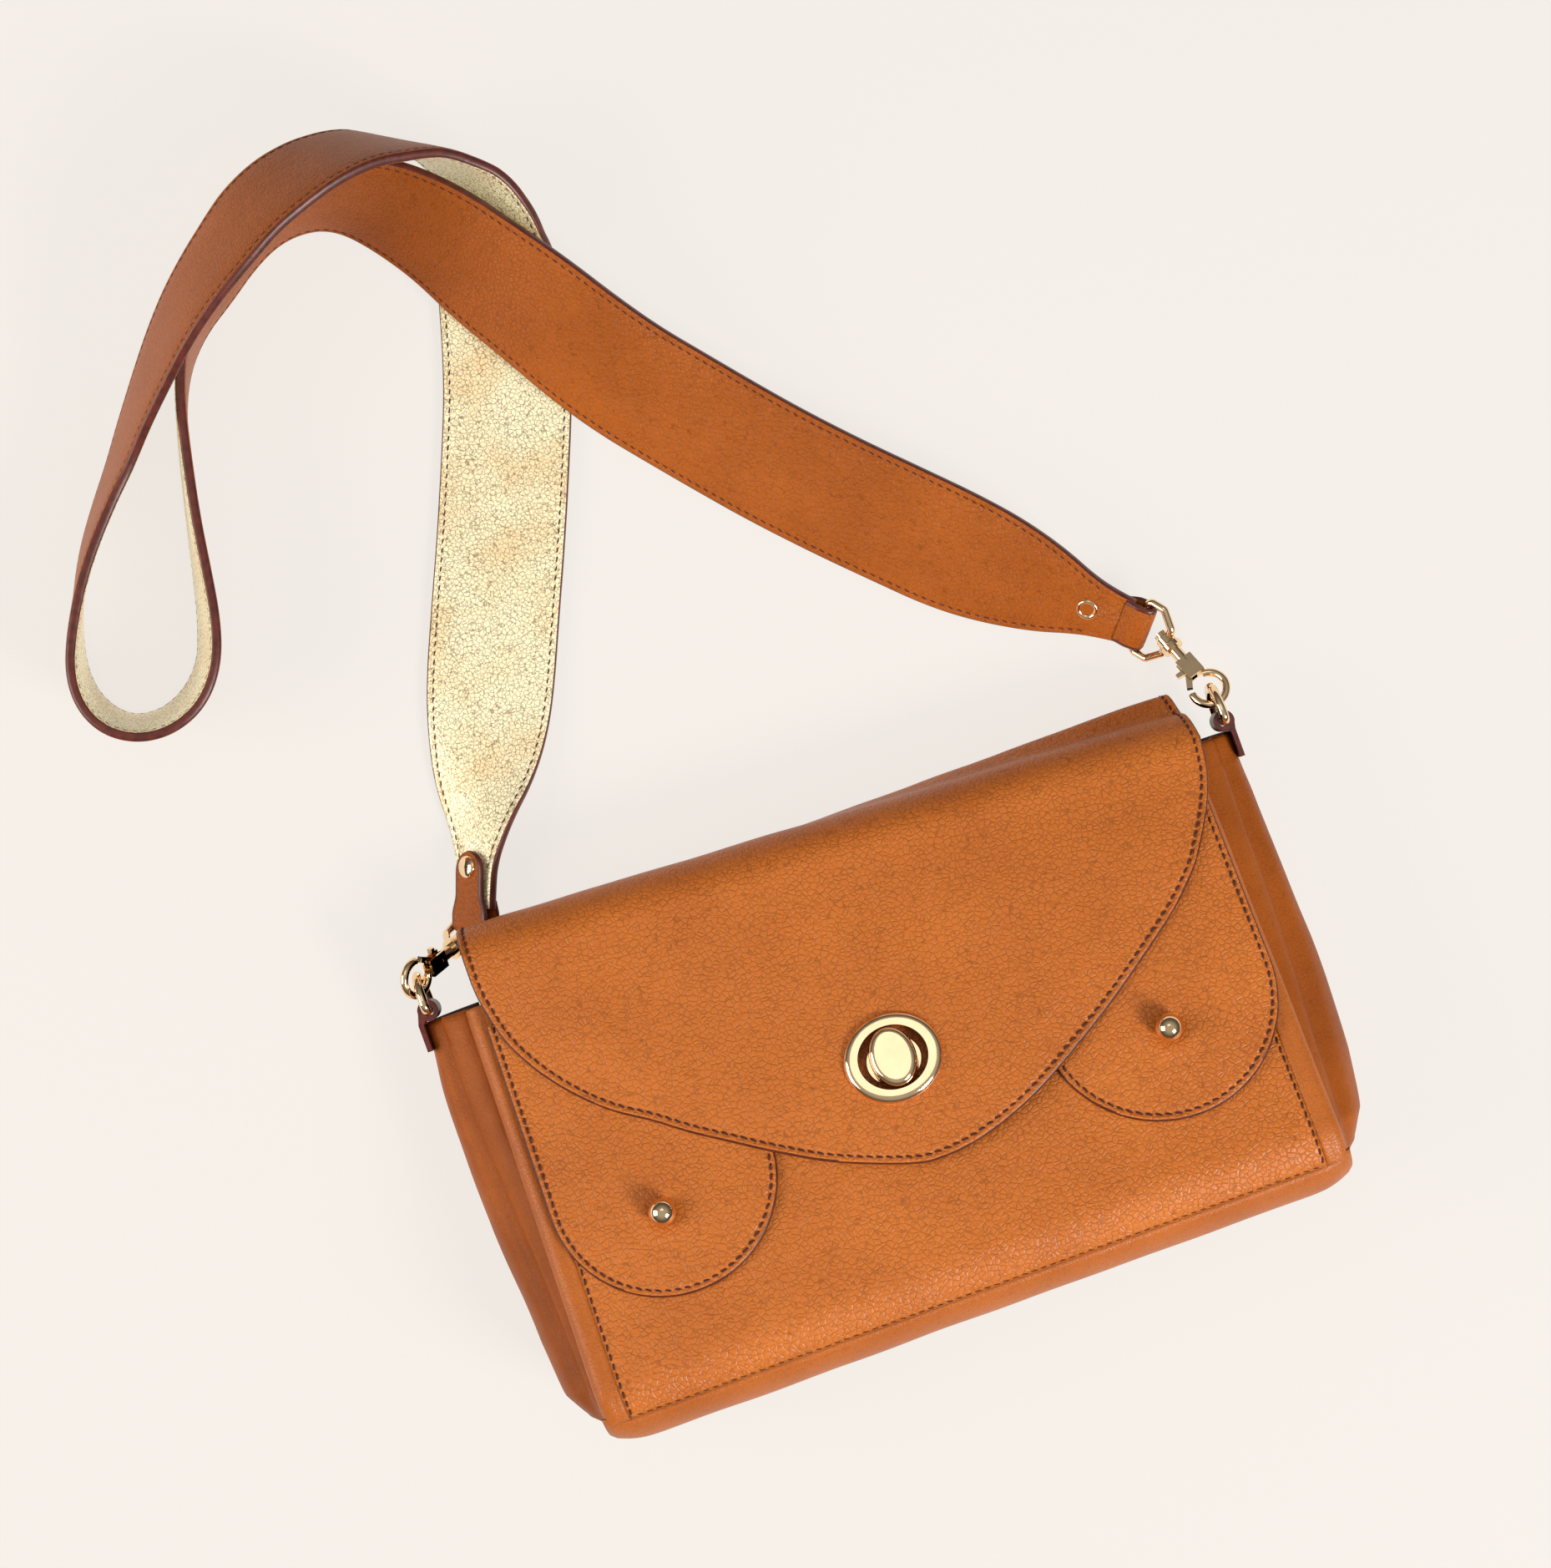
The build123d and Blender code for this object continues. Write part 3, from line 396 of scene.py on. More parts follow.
def slab(
    name, flat, rim, surface, thick, materials,
    round_off=1.1, seam=3.2, groove=0.28, soft=0.35, seed=0.0, rim_paint_and_shade=0.0, hole=None,
):
    """A leather piece over a grid of flat coordinates, with a rounded rim and a stitch groove.

    flat is rows x columns x 2, rim the polyline its finished edge follows, and surface maps
    flat coordinates and a lift to points. round_off is the edge's radius, seam the distance of
    the stitch groove from the rim, soft the padding, rim_paint_and_shade the width of painted edge seen
    from outside, which is edge paint and also painted shade for the dark contact line at the rim,
    and hole an opening given as centre and half sizes.
    """
    rows, cols = flat.shape[:2]
    plane = flat.reshape(-1, 2)
    gap = edge_distance(plane, rim)
    round_edge = round_off - np.sqrt(np.maximum(round_off ** 2 - (round_off - gap) ** 2, 0))
    drop = np.where(gap < round_off, round_edge, 0)
    dent = groove * np.exp(-((gap - seam) / 0.75) ** 2)
    puff = soft * step01((gap - seam) / 14) + wander(plane, 22, soft * 0.7, seed)
    lift = -drop * 0.8 - dent + puff * step01(gap / 3)
    outer = surface(plane, lift)
    inner = surface(plane, np.full(len(plane), -thick) + drop * 0.5)
    count = rows * cols
    verts = np.vstack([outer, inner])
    faces = []
    slots = []
    open_at = np.zeros(len(plane), bool)
    if hole:
        open_at = ((plane[:, 0] - hole[0]) / hole[2]) ** 2 + ((plane[:, 1] - hole[1]) / hole[3]) ** 2 < 1
    for r in range(rows - 1):
        for c in range(cols - 1):
            i = r * cols + c
            if open_at[i] and open_at[i + cols + 1]:
                continue
            faces.append((i, i + cols, i + cols + 1, i + 1))
            # Top faces this close to the rim take the edge material: edge paint, and painted shade for the
            # contact line.
            slots.append(1 if min(gap[i], gap[i + 1], gap[i + cols], gap[i + cols + 1]) < rim_paint_and_shade else 0)
            faces.append((i + count, i + 1 + count, i + cols + 1 + count, i + cols + count))
            slots.append(2)
    loop = [(0, c) for c in range(cols)] + [(r, cols - 1) for r in range(1, rows)]
    loop += [(rows - 1, c) for c in range(cols - 2, -1, -1)] + [(r, 0) for r in range(rows - 2, 0, -1)]
    ids = [r * cols + c for r, c in loop]
    for a, b in zip(ids, ids[1:] + ids[:1]):
        faces.append((a, b, b + count, a + count))
        slots.append(1)
    return make_object(name, verts, faces, materials, slots)


def ruled_grid(root, edge, rows):
    """Grid between two polylines of the same count, finer near the edge."""
    t = np.linspace(0, 1, rows)
    t = 1 - (1 - t) ** 1.35
    return root[None] * (1 - t[:, None, None]) + edge[None] * t[:, None, None]


def stitches(name, line, normals, pitch=2.9, length=2.2, radius=0.34, sink=0.1, slant=0.16):
    """A row of thread stitches along a line of points with surface normals."""
    lengths = np.concatenate([[0], np.cumsum(np.linalg.norm(np.diff(line, axis=0), axis=1))])
    total = lengths[-1]
    count = int(total / pitch)
    verts = []
    faces = []
    sides = 6
    # place along the stitch, thickness, rise
    profile = [
        (-0.5, 0.25, -0.35), (-0.42, 0.8, -0.05), (-0.2, 1.0, 0.12),
        (0.2, 1.0, 0.12), (0.42, 0.8, -0.05), (0.5, 0.25, -0.35),
    ]
    for k in range(count):
        at = (k + 0.5) * total / count

        def place(s):
            return np.array([np.interp(s, lengths, line[:, j]) for j in range(3)])

        ahead = unit(place(at + length / 2) - place(at - length / 2))
        up = unit(np.array([np.interp(at, lengths, normals[:, j]) for j in range(3)]))
        side = unit(np.cross(ahead, up))
        ahead = unit(ahead + side * (slant + random.uniform(-0.05, 0.05)))
        middle = place(at) - up * sink
        first = len(verts)
        for along, fat, rise in profile:
            for j in range(sides):
                turn = 2 * math.pi * j / sides
                verts.append(
                    middle + ahead * along * length + up * (rise * 0.9 + math.sin(turn) * radius * fat)
                    + side * math.cos(turn) * radius * fat
                )
        for ring in range(len(profile) - 1):
            for j in range(sides):
                a = first + ring * sides + j
                b = first + ring * sides + (j + 1) % sides
                faces.append((a, b, b + sides, a + sides))
        faces.append(tuple(first + j for j in reversed(range(sides))))
        last = first + (len(profile) - 1) * sides
        faces.append(tuple(last + j for j in range(sides)))
    return make_object(name, verts, faces, [THREAD])


# ---------------------------------------------------------------- surfaces of the bag
def front_z(y):
    """Height of the front panel's outer face."""
    return FRONT_AT_BASE - FRONT_SLOPE * (y - BASE_Y)


FRONT_NORMAL = np.array([0, math.sin(TILT), math.cos(TILT)])


def front_surface(lift0=0.0):
    """Maps coordinates in the front plane, and a lift, to points."""
    def mapping(plane, lift):
        q = plane[:, 1]
        base = np.stack([plane[:, 0], q * math.cos(TILT), front_z(0) - q * math.sin(TILT)], axis=1)
        return base + FRONT_NORMAL * (np.asarray(lift) + lift0)[:, None]
    return mapping


def path_surface(path, shape=None, outward=1.0):
    """Maps an x and a length along a side-view path, and a lift, to points."""
    lengths = np.concatenate([[0], np.cumsum(np.linalg.norm(np.diff(path, axis=0), axis=1))])
    tangent = unit(np.gradient(path, axis=0))
    normal = np.stack([-tangent[:, 1], tangent[:, 0]], axis=1) * outward

    def mapping(plane, lift):
        s = plane[:, 1]
        y = np.interp(s, lengths, path[:, 0])
        z = np.interp(s, lengths, path[:, 1])
        ny = np.interp(s, lengths, normal[:, 0])
        nz = np.interp(s, lengths, normal[:, 1])
        lift = np.asarray(lift)
        out = np.stack([plane[:, 0], y + ny * lift, z + nz * lift], axis=1)
        return shape(out) if shape else out

    return mapping, lengths[-1], lengths


def flap_top(y):
    """Height of the closed flap's outer face."""
    return front_z(y) + FLAP_RISE / math.cos(TILT)


# The flap's side view, from the back panel round the crown and down the front
flap_path = rounded_path(
    [(62, 0.9), (CROWN_Y, 0.9), (CROWN_Y, flap_top(CROWN_Y)), (-30, flap_top(-30))], [17, 15], 0.7
)
flap_path = flap_path[::-1]


def flap_shape(points):
    """The crown's slight skew."""
    out = points.copy()
    x, y, z = points[:, 0], points[:, 1], points[:, 2]
    out[:, 1] -= CROWN_SKEW * x * step01((y - 30) / 45) * step01((z - 17) / 10)
    return out


flap_surface, FLAP_RUN, flap_lengths = path_surface(flap_path, flap_shape)
crest = int(np.argmax(flap_path[:, 0]))


def flap_s(y):
    """Length along the flap's path, from its far lower end, at a height y on the front."""
    return np.interp(y, flap_path[:crest + 1, 0], flap_lengths[:crest + 1])


def before_skew(points):
    """Heights that the crown's skew carries to the given ones."""
    y = points[:, 1].copy()
    for _ in range(12):
        y = points[:, 1] + CROWN_SKEW * points[:, 0] * step01((y - 30) / 45)
    return y


low_edge = resample(smooth_curve(FLAP_EDGE, 14), 1.0)
low_edge = np.stack([low_edge[:, 0], flap_s(before_skew(low_edge))], axis=1)
hinge_s = float(flap_lengths[crest + int(np.argmax(flap_path[crest:, 1] < 20))])
right_s = [low_edge[0, 1], flap_lengths[crest], hinge_s, FLAP_RUN]
right_x = [119.7, 118.8, 117.8, 112.0]
left_s = [low_edge[-1, 1], flap_lengths[crest], hinge_s, FLAP_RUN]
left_x = [111.2, 111.5, 109.5, 109.0]
rows = 1 - (1 - np.linspace(0, 1, 150)[:, None]) ** 1.35
grid_s = FLAP_RUN * (1 - rows) + low_edge[None, :, 1] * rows
narrowed = np.where(
    low_edge[None, :, 0] > 0,
    np.interp(grid_s, right_s, right_x) / right_x[0],
    np.interp(grid_s, left_s, left_x) / left_x[0],
)
flap_grid = np.stack([low_edge[None, :, 0] * narrowed, grid_s], axis=2)
right_side = resample(np.stack([right_x, right_s], axis=1)[::-1], 1.0)
left_side = resample(np.stack([-np.array(left_x), left_s], axis=1), 1.0)
flap_rim = np.vstack([right_side, low_edge, left_side])
lock_opening = (0, float(flap_s(LOCK_Y + 1.2)), 12.0, 11.2)
flap = slab(
    "flap_cover", flap_grid[:, ::-1], flap_rim, flap_surface, FLAP_THICK, [TAN, EDGE_PAINT_AND_SHADE, CLOTH],
    seam=2.1, soft=0.45, seed=3.1, rim_paint_and_shade=0.4, hole=lock_opening,
)
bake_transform(flap)
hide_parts("flap_root", "flap_leather", "flap_lining")


def offset_line(line, inset):
    """A polyline moved sideways in its plane, to the left of its run."""
    tangent = unit(np.gradient(line, axis=0))
    return line + np.stack([-tangent[:, 1], tangent[:, 0]], axis=1) * inset


def surface_row(name, line, surface, body, sink=0.15, blend=None, **kind):
    """Stitches along a line in flat coordinates of a surface."""
    line = resample(line, 0.8)
    low = surface(line, np.zeros(len(line)))
    high = surface(line, np.ones(len(line)))
    made = stitches(name, low, unit(high - low), sink=sink, **kind)
    if blend:
        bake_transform(made)
    else:
        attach(made, body)


inner_rim = offset_line(resample(flap_rim, 1.0), -2.1)
keep = (edge_distance(inner_rim, resample(flap_rim, 1.0)) > 1.95) & (inner_rim[:, 1] < hinge_s + 6)
surface_row(
    "flap_stitches", inner_rim[keep], flap_surface, "flap", blend=((0, 0.084, 0.013), (0, 0.084, 0.027)),
)

# ---------------------------------------------------------------- petal tabs
PETAL_TOP = 61.0
PETAL_STRAIGHT = 22
for side, tag, middle, radius, raised in ((1, "right", 79.0, 36.0, 0.0), (-1, "left", 76.8, 34.6, 0.2)):
    turn = np.radians(np.linspace(0, -180, 120))
    round_end = np.stack([middle + radius * np.cos(turn), raised + radius * np.sin(turn)], axis=1)
    outline = np.vstack([
        [(middle + radius, PETAL_TOP), (middle + radius, PETAL_STRAIGHT)], round_end,
        [(middle - radius, PETAL_STRAIGHT), (middle - radius, PETAL_TOP)],
    ])
    outline = resample(outline, 0.9) * np.array([side, 1])
    top_x = np.linspace(middle + radius, middle - radius, len(outline)) * side
    top = np.stack([top_x, np.full(len(outline), PETAL_TOP)], axis=1)
    petal_grid = ruled_grid(top, outline, 100)
    lifted = front_surface(2.6)

    def petal_surface(plane, lift, side=side):
        """The tab, dimpled where the ball stud comes through its slit."""
        rel = plane - np.array([STUD[0] * side, STUD[1]])
        dimple = -0.8 * np.exp(-(rel[:, 0] ** 2 + (rel[:, 1] - 1) ** 2) / 26)
        pucker = 0.35 * np.exp(-((np.hypot(rel[:, 0], rel[:, 1]) - 6.5) / 2.4) ** 2)
        return lifted(plane, np.asarray(lift) + dimple + pucker)

    flip = petal_grid[:, ::-1] if side > 0 else petal_grid
    petal = slab(
        f"petal_cover_{tag}", flip, outline, petal_surface, 2.1, [TAN, EDGE_PAINT_AND_SHADE, CLOTH],
        seam=1.9, soft=0.5, seed=5.3 + side, rim_paint_and_shade=0.4,
    )
    start = (side * 0.0766, 0.0138, 0.0534)
    end = (side * 0.0814, 0.0087, 0.0546)
    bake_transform(petal)
    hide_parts(f"petal_root_{tag}", f"petal_{tag}", f"petal_lining_{tag}")
    surface_row(
        f"petal_stitches_{tag}", offset_line(outline, -1.9 * side), petal_surface, f"petal_{tag}",
        blend=(start, end),
    )
    slit = np.array([(STUD[0] * side, STUD[1] + 2.6), (STUD[0] * side - 0.7, STUD[1] + 7.4)])
    surface_row(
        f"petal_slit_{tag}", slit, petal_surface, f"petal_{tag}", sink=0.2, blend=(start, end),
        pitch=4.7, length=4.4, radius=0.34, slant=0.0,
    )

# ---------------------------------------------------------------- body panels
body_path = rounded_path(
    [(62, 0), (BASE_Y, 0), (BASE_Y, FRONT_AT_BASE), (MOUTH_Y, front_z(MOUTH_Y))], [11, 17], 0.8
)
body_path = body_path[::-1]
body_surface, _, body_lengths = path_surface(body_path, outward=-1.0)
body_y = body_path[:, 0]
upper = body_path[:, 1] > 35
seam_s = float(np.interp(62, -body_y[upper], body_lengths[upper]))


def rectangle_grid(x0, x1, s0, s1, step):
    """Even grid of flat coordinates."""
    xs = np.linspace(x0, x1, max(2, int(abs(x1 - x0) / step)))
    ss = np.linspace(s0, s1, max(2, int(abs(s1 - s0) / step)))
    return np.stack(np.meshgrid(xs, ss), axis=2)


def rectangle_rim(x0, x1, s0, s1):
    """The closed outline of a rectangle of flat coordinates."""
    return resample(np.array([(x0, s0), (x0, s1), (x1, s1), (x1, s0), (x0, s0)], float), 1.0)


front = slab(
    "front_cover", rectangle_grid(-PANEL_HALF, PANEL_HALF, 0, seam_s, 1.6),
    rectangle_rim(-PANEL_HALF, PANEL_HALF, 0, seam_s),
    body_surface, 1.5, [TAN, EDGE_PAINT_AND_SHADE, CLOTH], round_off=0.35, seam=0.9, soft=0.4, seed=8.8,
)
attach(front, "bag")
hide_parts("front_panel")
for side, tag in ((1, "right"), (-1, "left")):
    seam_x = side * (PANEL_HALF - 0.9)
    surface_row(f"front_seam_{tag}", np.array([(seam_x, 3.0), (seam_x, seam_s - 1.2)]), body_surface, "bag")
bottom_line = np.array([(-PANEL_HALF + 2, seam_s - 0.7), (PANEL_HALF - 2, seam_s - 0.7)])
surface_row("bottom_seam", bottom_line, body_surface, "bag", radius=0.15, sink=0.3)

back_seam_s = float(body_lengths[(body_path[:, 0] < -59) & (body_path[:, 1] < 5)].max())
STRIP_ROLL = 3.6
STRIP_SKIRT = 4.5
BOTTOM_HALF = 117


def strip_surface(side):
    """Side strip: flat beside the front panel, then rolled over towards the gusset."""
    def mapping(plane, lift):
        a = plane[:, 0] * side
        flat_part = STRIP_HALF - STRIP_ROLL - PANEL_HALF
        roll = np.clip((a - flat_part) / STRIP_ROLL, 0, math.pi / 2)
        x = PANEL_HALF + np.minimum(a, flat_part) + STRIP_ROLL * np.sin(roll)
        down = STRIP_ROLL * (1 - np.cos(roll)) + np.maximum(a - flat_part - STRIP_ROLL * math.pi / 2, 0)
        lift = np.asarray(lift)
        x = x + np.sin(roll) * lift
        return body_surface(np.stack([x * side, plane[:, 1]], axis=1), np.cos(roll) * lift - down)
    return mapping


# Gusset: height, then points at the front edge, the middle and the back edge
GUSSET_ROWS = [
    (67, (114.9, 33.4), (131.5, 18), (114.8, 1.6)), (40, (114.9, 39.6), (131.5, 21), (115.3, 1.6)),
    (0, (114.9, 48.9), (131, 26), (115.8, 1.6)), (-35, (114.9, 57), (129.5, 30), (116.6, 2)),
    (-52, (114.9, 61), (127.7, 32), (117.0, 4)), (-62, (114.9, 58), (123.6, 32), (117.0, 6)),
    (-68, (114.9, 53), (117.2, 31.5), (116.6, 10)),
]
GUSSET_ARC = 56.0
GUSSET_TOP, GUSSET_LOW = 67, -68


def gusset_surface(side):
    """Soft bulging gusset: an arc from the front edge to the back edge at each height."""
    ys = np.array([r[0] for r in GUSSET_ROWS], float)[::-1]
    table = np.array([[*r[1], *r[2], *r[3]] for r in GUSSET_ROWS], float)[::-1]

    def mapping(plane, lift):
        y = plane[:, 1]
        fx, fz, mx, mz, bx, bz = (np.interp(y, ys, table[:, k]) for k in range(6))
        a, b = 2 * (mx - fx), 2 * (mz - fz)
        c, d = 2 * (bx - mx), 2 * (bz - mz)
        e = mx ** 2 + mz ** 2 - fx ** 2 - fz ** 2
        f = bx ** 2 + bz ** 2 - mx ** 2 - mz ** 2
        det = a * d - b * c
        cx, cz = (e * d - b * f) / det, (a * f - e * c) / det
        r = np.hypot(fx - cx, fz - cz)
        first, last = np.arctan2(fz - cz, fx - cx), np.arctan2(bz - cz, bx - cx)
        u = plane[:, 0] / GUSSET_ARC
        turn = first + (last - first) * u
        fold = 0.8 * np.sin(u * math.pi) * np.sin(y / 19 + u * 3 + side)
        fold = fold - 2.7 * np.exp(-((u - 0.2 - y / 900) / 0.05) ** 2)
        rr = r + np.asarray(lift) + fold * step01((y + 67) / 24)
        raised = y + 2.4 * step01((-50 - y) / 16)
        return np.stack([side * (cx + rr * np.cos(turn)), raised, cz + rr * np.sin(turn)], axis=1)
    return mapping


def bottom_shape(points):
    """Rounds the bottom panel's ends in towards the gussets."""
    out = points.copy()
    over = np.maximum(np.abs(points[:, 0]) - 106, 0)
    pull = over ** 2 / 42
    low = step01((-50 - points[:, 1]) / 14)
    out[:, 1] += pull * low
    return out


bottom_surface = path_surface(body_path, bottom_shape, outward=-1.0)[0]
bottom_s = seam_s + 0.15
bottom = slab(
    "bottom_cover", rectangle_grid(-BOTTOM_HALF, BOTTOM_HALF, bottom_s, back_seam_s, 1.6),
    rectangle_rim(-BOTTOM_HALF, BOTTOM_HALF, bottom_s, back_seam_s),
    bottom_surface, 1.5, [TAN_SMOOTH, EDGE_PAINT_AND_SHADE, CLOTH],
    round_off=0.8, seam=2.4, groove=0.15, soft=0.5, seed=2.2,
)
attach(bottom, "bag")
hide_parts("bottom_panel")

for side, tag in ((1, "right"), (-1, "left")):
    outer_a = (STRIP_HALF - STRIP_ROLL - PANEL_HALF + STRIP_ROLL * math.pi / 2 + STRIP_SKIRT) * side
    low, high = sorted((0.0, outer_a))
    edge_strip = slab(
        f"side_strip_cover_{tag}", rectangle_grid(low, high, 0, seam_s, 0.7),
        rectangle_rim(low, high, 0, seam_s), strip_surface(side), 1.4, [TAN_SMOOTH, EDGE_PAINT_AND_SHADE, CLOTH],
        round_off=0.35, seam=2.2, groove=0.15, soft=0.2, seed=4.4 + side,
    )
    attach(edge_strip, "bag")
    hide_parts(f"side_strip_{tag}")
    grid = rectangle_grid(0, GUSSET_ARC, GUSSET_TOP, GUSSET_LOW, 1.4)
    grid = grid if side > 0 else grid[:, ::-1]
    # The gussets take the darker copy of the tan leather, which is painted shade.
    gusset = slab(
        f"gusset_cover_{tag}", grid, rectangle_rim(0, GUSSET_ARC, GUSSET_TOP, GUSSET_LOW),
        gusset_surface(side), 1.6, [SHADED_TAN_GUSSET, EDGE_PAINT_AND_SHADE, CLOTH],
        round_off=0.9, seam=7.5, groove=0.25, soft=0.6, seed=6.6 + side,
    )
    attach(gusset, "bag")
    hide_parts(f"gusset_{tag}")


# ---------------------------------------------------------------- strap
def lean_frames(centres, leans):
    """Directions across the strap and out of its leather side."""
    travel = unit(np.gradient(centres, axis=0))
    right = unit(np.cross(travel, np.array([0, 0, 1.0])))
    above = np.cross(right, travel)
    turn = np.radians(leans)[:, None]
    across = right * np.cos(turn) + above * np.sin(turn)
    return across, np.cross(across, travel), travel


def nurbs_points(name, points, resolution):
    """A NURBS curve through control points, evaluated, and the curve object."""
    curve = bpy.data.curves.new(name, "CURVE")
    curve.dimensions = "3D"
    spline = curve.splines.new("NURBS")
    spline.points.add(len(points) - 1)
    for target, point in zip(spline.points, points):
        target.co = (*point, 1)
    spline.order_u = 3
    spline.use_endpoint_u = True
    spline.resolution_u = resolution
    made = bpy.data.objects.new(name, curve)
    bpy.context.scene.collection.objects.link(made)
    bpy.context.view_layer.update()
    mesh = bpy.data.meshes.new_from_object(made)
    out = np.array([v.co[:] for v in mesh.vertices])
    bpy.data.meshes.remove(mesh)
    bpy.data.objects.remove(made)
    bpy.data.curves.remove(curve)
    return out


strap_centres = nurbs_points("strap_line", [tuple(c * MM for c in row[:3]) for row in STRAP_ROUTE], 8)
strap_shape = nurbs_points("strap_lean", [(row[3] * MM, row[4] * MM, 0) for row in STRAP_ROUTE], 8)
centres = strap_centres / MM
leans, widths = strap_shape[:, 0] / MM, strap_shape[:, 1] / MM
across, leather_side, travel = lean_frames(centres, leans)


def strip(name, centres, across, normals, widths, profile, slots, materials):
    """A closed strip swept along a line; profile gives side, edge inset and height round the section."""
    verts = []
    for c, w, n, width in zip(centres, across, normals, widths):
        for sign, inset, height in profile:
            verts.append(c + w * sign * max(width / 2 - inset, 0) + n * height)
    ring = len(profile)
    faces = []
    face_slots = []
    for i in range(len(centres) - 1):
        for j in range(ring):
            a = i * ring + j
            b = i * ring + (j + 1) % ring
            faces.append((a, a + ring, b + ring, b))
            face_slots.append(slots[j])
    faces.append(tuple(range(ring)))
    faces.append(tuple(reversed(range((len(centres) - 1) * ring, len(centres) * ring))))
    face_slots += [1, 1]
    return make_object(name, verts, faces, materials, face_slots)


# side, distance in from the edge, height above the middle surface
STRAP_HALF_TOP = [(0.45, 1.38), (0.95, 1.56), (1.5, 1.6), (1.9, 1.47), (2.15, 1.42), (2.4, 1.48), (3.4, 1.68)]
STRAP_PROFILE = [(1, i, h) for i, h in STRAP_HALF_TOP] + [(1, 10, 1.78), (-1, 10, 1.78)]
STRAP_PROFILE += [(-1, i, h) for i, h in reversed(STRAP_HALF_TOP)]
STRAP_PROFILE += [(-1, 0.15, 1.05), (-1, 0, 0.4), (-1, 0.02, -0.4), (-1, 0.15, -1.05)]
STRAP_PROFILE += [(-1, i, -h) for i, h in STRAP_HALF_TOP] + [(-1, 10, -1.72), (1, 10, -1.72)]
STRAP_PROFILE += [(1, i, -h) for i, h in reversed(STRAP_HALF_TOP)]
STRAP_PROFILE += [(1, 0.15, -1.05), (1, 0.02, -0.4), (1, 0, 0.4), (1, 0.15, 1.05)]
STRAP_SLOTS = [0] * 15 + [1] * 5 + [2] * 15 + [1] * 5
strap = strip(
    "strap_body", centres, across, leather_side, widths, STRAP_PROFILE, STRAP_SLOTS,
    [TAN_STRAP, EDGE_DARK, FOIL],
)
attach(strap, "bag")
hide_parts("strap_leather", "strap_lining")

STRAP_SEAM = 2.15
for sign, edge_tag in ((1, "a"), (-1, "b")):
    for face, face_tag in ((1, "leather"), (-1, "foil")):
        line = centres + across * sign * (widths[:, None] / 2 - STRAP_SEAM) + leather_side * face * 1.42
        row = stitches(
            f"strap_stitches_{face_tag}_{edge_tag}", line[10:-10], (leather_side * face)[10:-10],
            sink=0.12, radius=0.27,
        )
        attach(row, "bag")

# Folded strap ends round the ring bars, seen from the ring back along the strap
TONGUE_HALF = [(0.5, 0.6), (1.3, 0.85), (1.9, 0.7), (2.5, 0.88)]
TONGUE_PROFILE = [(1, i, h) for i, h in TONGUE_HALF] + [(-1, i, h) for i, h in reversed(TONGUE_HALF)]
TONGUE_PROFILE += [(-1, 0.1, 0.35), (-1, 0, 0), (-1, 0.1, -0.5), (-1, 0.5, -0.85)]
TONGUE_PROFILE += [(1, 0.5, -0.85), (1, 0.1, -0.5), (1, 0, 0), (1, 0.1, 0.35)]
TONGUE_SLOTS = [1] + [0] * 5 + [1] * 5 + [0] + [1] * 4


def lathe(name, centre, axis, profile, material, segments=40):
    """A turned piece: profile is radius and height along the axis, in millimetres."""
    axis = unit(np.array(axis, float))
    side = unit(np.cross(axis, np.array([0.3, 0.5, 0.81])))
    other = np.cross(axis, side)
    verts = []
    faces = []
    for radius, height in profile:
        for k in range(segments):
            turn = 2 * math.pi * k / segments
            verts.append(centre + axis * height + (side * math.cos(turn) + other * math.sin(turn)) * radius)
    for ring in range(len(profile) - 1):
        for k in range(segments):
            a = ring * segments + k
            b = ring * segments + (k + 1) % segments
            faces.append((a, b, b + segments, a + segments))
    faces.append(tuple(reversed(range(segments))))
    faces.append(tuple(range((len(profile) - 1) * segments, len(profile) * segments)))
    return make_object(name, verts, faces, [material])


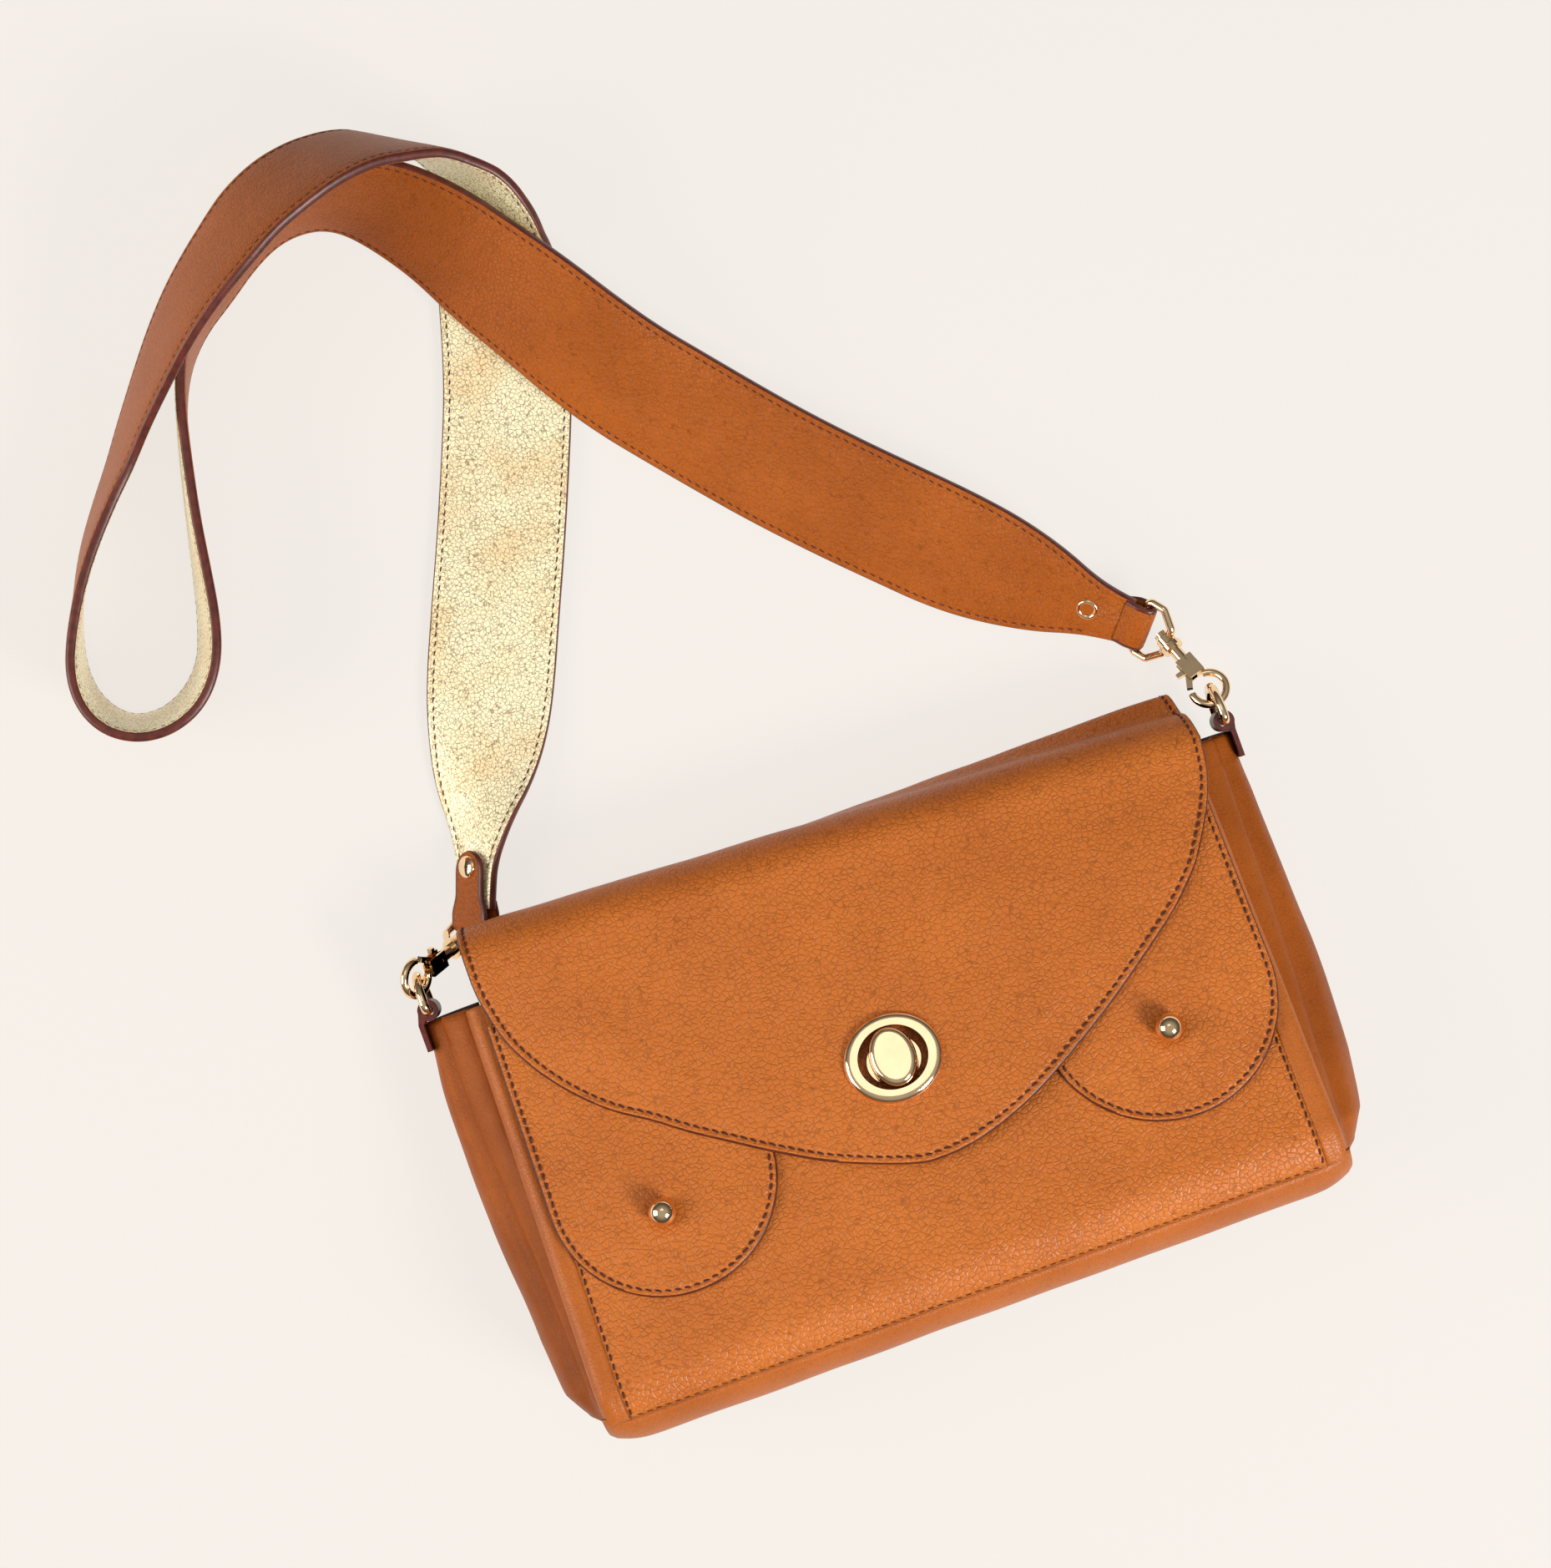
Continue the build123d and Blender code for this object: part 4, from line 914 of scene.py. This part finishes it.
for tag, bar, index, sign in (("left", LEFT_BAR, -1, -1), ("right", RIGHT_BAR, 0, 1)):
    w = across[index]
    n = leather_side[index]
    back = travel[index] * sign
    fold = rounded_path(
        [(6.5, 1.2), (2.4, 2.4), (-2.5, 2.4), (-2.5, -2.7), (2.5, -2.9), (TONGUE_LENGTH, -3.0)],
        [6, 2.3, 2.3, 8], 0.5,
    )
    tangent = unit(np.gradient(fold, axis=0))
    path = bar + fold[:, :1] * back + fold[:, 1:] * n
    out = np.stack([tangent[:, 1], -tangent[:, 0]], axis=1) * -1
    normals = out[:, :1] * back + out[:, 1:] * n
    normals = np.where(((path - bar) * normals).sum(1, keepdims=True) < 0, -normals, normals)
    run = np.concatenate([[0], np.cumsum(np.linalg.norm(np.diff(fold, axis=0), axis=1))])
    left_to_go = run[-1] - run
    wide = TONGUE_WIDTH - 3.2 * step01((fold[:, 0] - 2) / 7) * (fold[:, 1] < 0)
    rounding = np.sqrt(np.maximum(1 - (1 - left_to_go / TONGUE_TIP) ** 2, 0.002))
    wide = np.where(left_to_go < TONGUE_TIP, wide * rounding, wide)
    tongue = strip(
        f"strap_fold_{tag}", path, np.repeat(w[None], len(path), 0), normals, wide,
        TONGUE_PROFILE, TONGUE_SLOTS, [TAN_STRAP, EDGE_DARK],
    )
    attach(tongue, "bag")
    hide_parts(f"strap_loop_{tag}")
    at = bar + back * RIVET_FROM_BAR
    dome = lathe(
        f"rivet_dome_{tag}", at - n * 3.9, -n,
        [(3.5, -0.4), (3.6, 0.2), (3.3, 0.75), (2.5, 1.15), (1.3, 1.35), (0.05, 1.4)], GOLD,
    )
    ring = lathe(
        f"rivet_rim_{tag}", at + n * 1.9, n,
        [(3.5, -0.5), (3.5, 0.3), (3.1, 0.75), (2.5, 0.7), (2.0, 0.2), (1.9, -0.1), (0.05, -0.15)], GOLD,
    )
    for piece in (dome, ring):
        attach(piece, "bag")
    if tag == "left":
        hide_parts("strap_rivets")

# ---------------------------------------------------------------- floor, light, camera
bpy.ops.mesh.primitive_plane_add(size=8, location=(0, 0, -0.0004))
floor = bpy.context.object
floor.name = "floor"
floor_mat, _, floor_shader = principled("floor_pale")
floor_shader.inputs["Base Color"].default_value = (0.09, 0.0855, 0.08, 1)
floor_shader.inputs["Emission Color"].default_value = (0.905, 0.863, 0.815, 1)
floor_shader.inputs["Emission Strength"].default_value = 0.88
floor_shader.inputs["Roughness"].default_value = 0.85
floor_shader.inputs["Specular IOR Level"].default_value = 0.1
floor.data.materials.append(floor_mat)

world = bpy.data.worlds.new("studio")
bpy.context.scene.world = world
world.use_nodes = True
sky = world.node_tree
direction = sky.nodes.new("ShaderNodeTexCoord").outputs["Generated"]
parts = sky.nodes.new("ShaderNodeSeparateXYZ")
sky.links.new(direction, parts.inputs[0])
SKY_TONES = [(0.0, (0.10, 0.08, 0.065)), (0.45, (0.30, 0.28, 0.26)), (0.9, (0.85, 0.83, 0.80))]
sky_tone = ramp(sky, parts.outputs["Z"], SKY_TONES)
sky.links.new(sky_tone, sky.nodes["Background"].inputs["Color"])
sky.nodes["Background"].inputs["Strength"].default_value = 0.5


def softbox(name, place, aim, size, power, colour=(1, 0.98, 0.95)):
    """A square area light aimed at a point, in metres."""
    light = bpy.data.lights.new(name, "AREA")
    light.shape = "SQUARE"
    light.size = size
    light.energy = power
    light.color = colour
    made = bpy.data.objects.new(name, light)
    made.location = place
    made.rotation_euler = (Vector(aim) - Vector(place)).to_track_quat("-Z", "Y").to_euler()
    bpy.context.scene.collection.objects.link(made)


softbox("key", (0.66, -0.9, 1.15), (0.02, 0.05, 0), 0.5, 26)
softbox("fill", (-1.15, 0.3, 0.75), (-0.1, 0.15, 0), 0.8, 13, (1.0, 0.92, 0.82))
softbox("overhead", (0.1, 0.75, 1.8), (0, 0, 0), 0.7, 1.5)

camera_data = bpy.data.cameras.new("camera")
camera_data.lens = 81.1
camera_data.sensor_width = 36
camera_data.clip_start = 0.01
camera = bpy.data.objects.new("camera", camera_data)
camera.location = (-0.005, 0.099, 1.1)
camera.rotation_euler = (0, 0, math.radians(-20))
bpy.context.scene.collection.objects.link(camera)
bpy.context.scene.camera = camera
bpy.context.scene.view_settings.view_transform = "Standard"
bpy.context.scene.view_settings.look = "None"
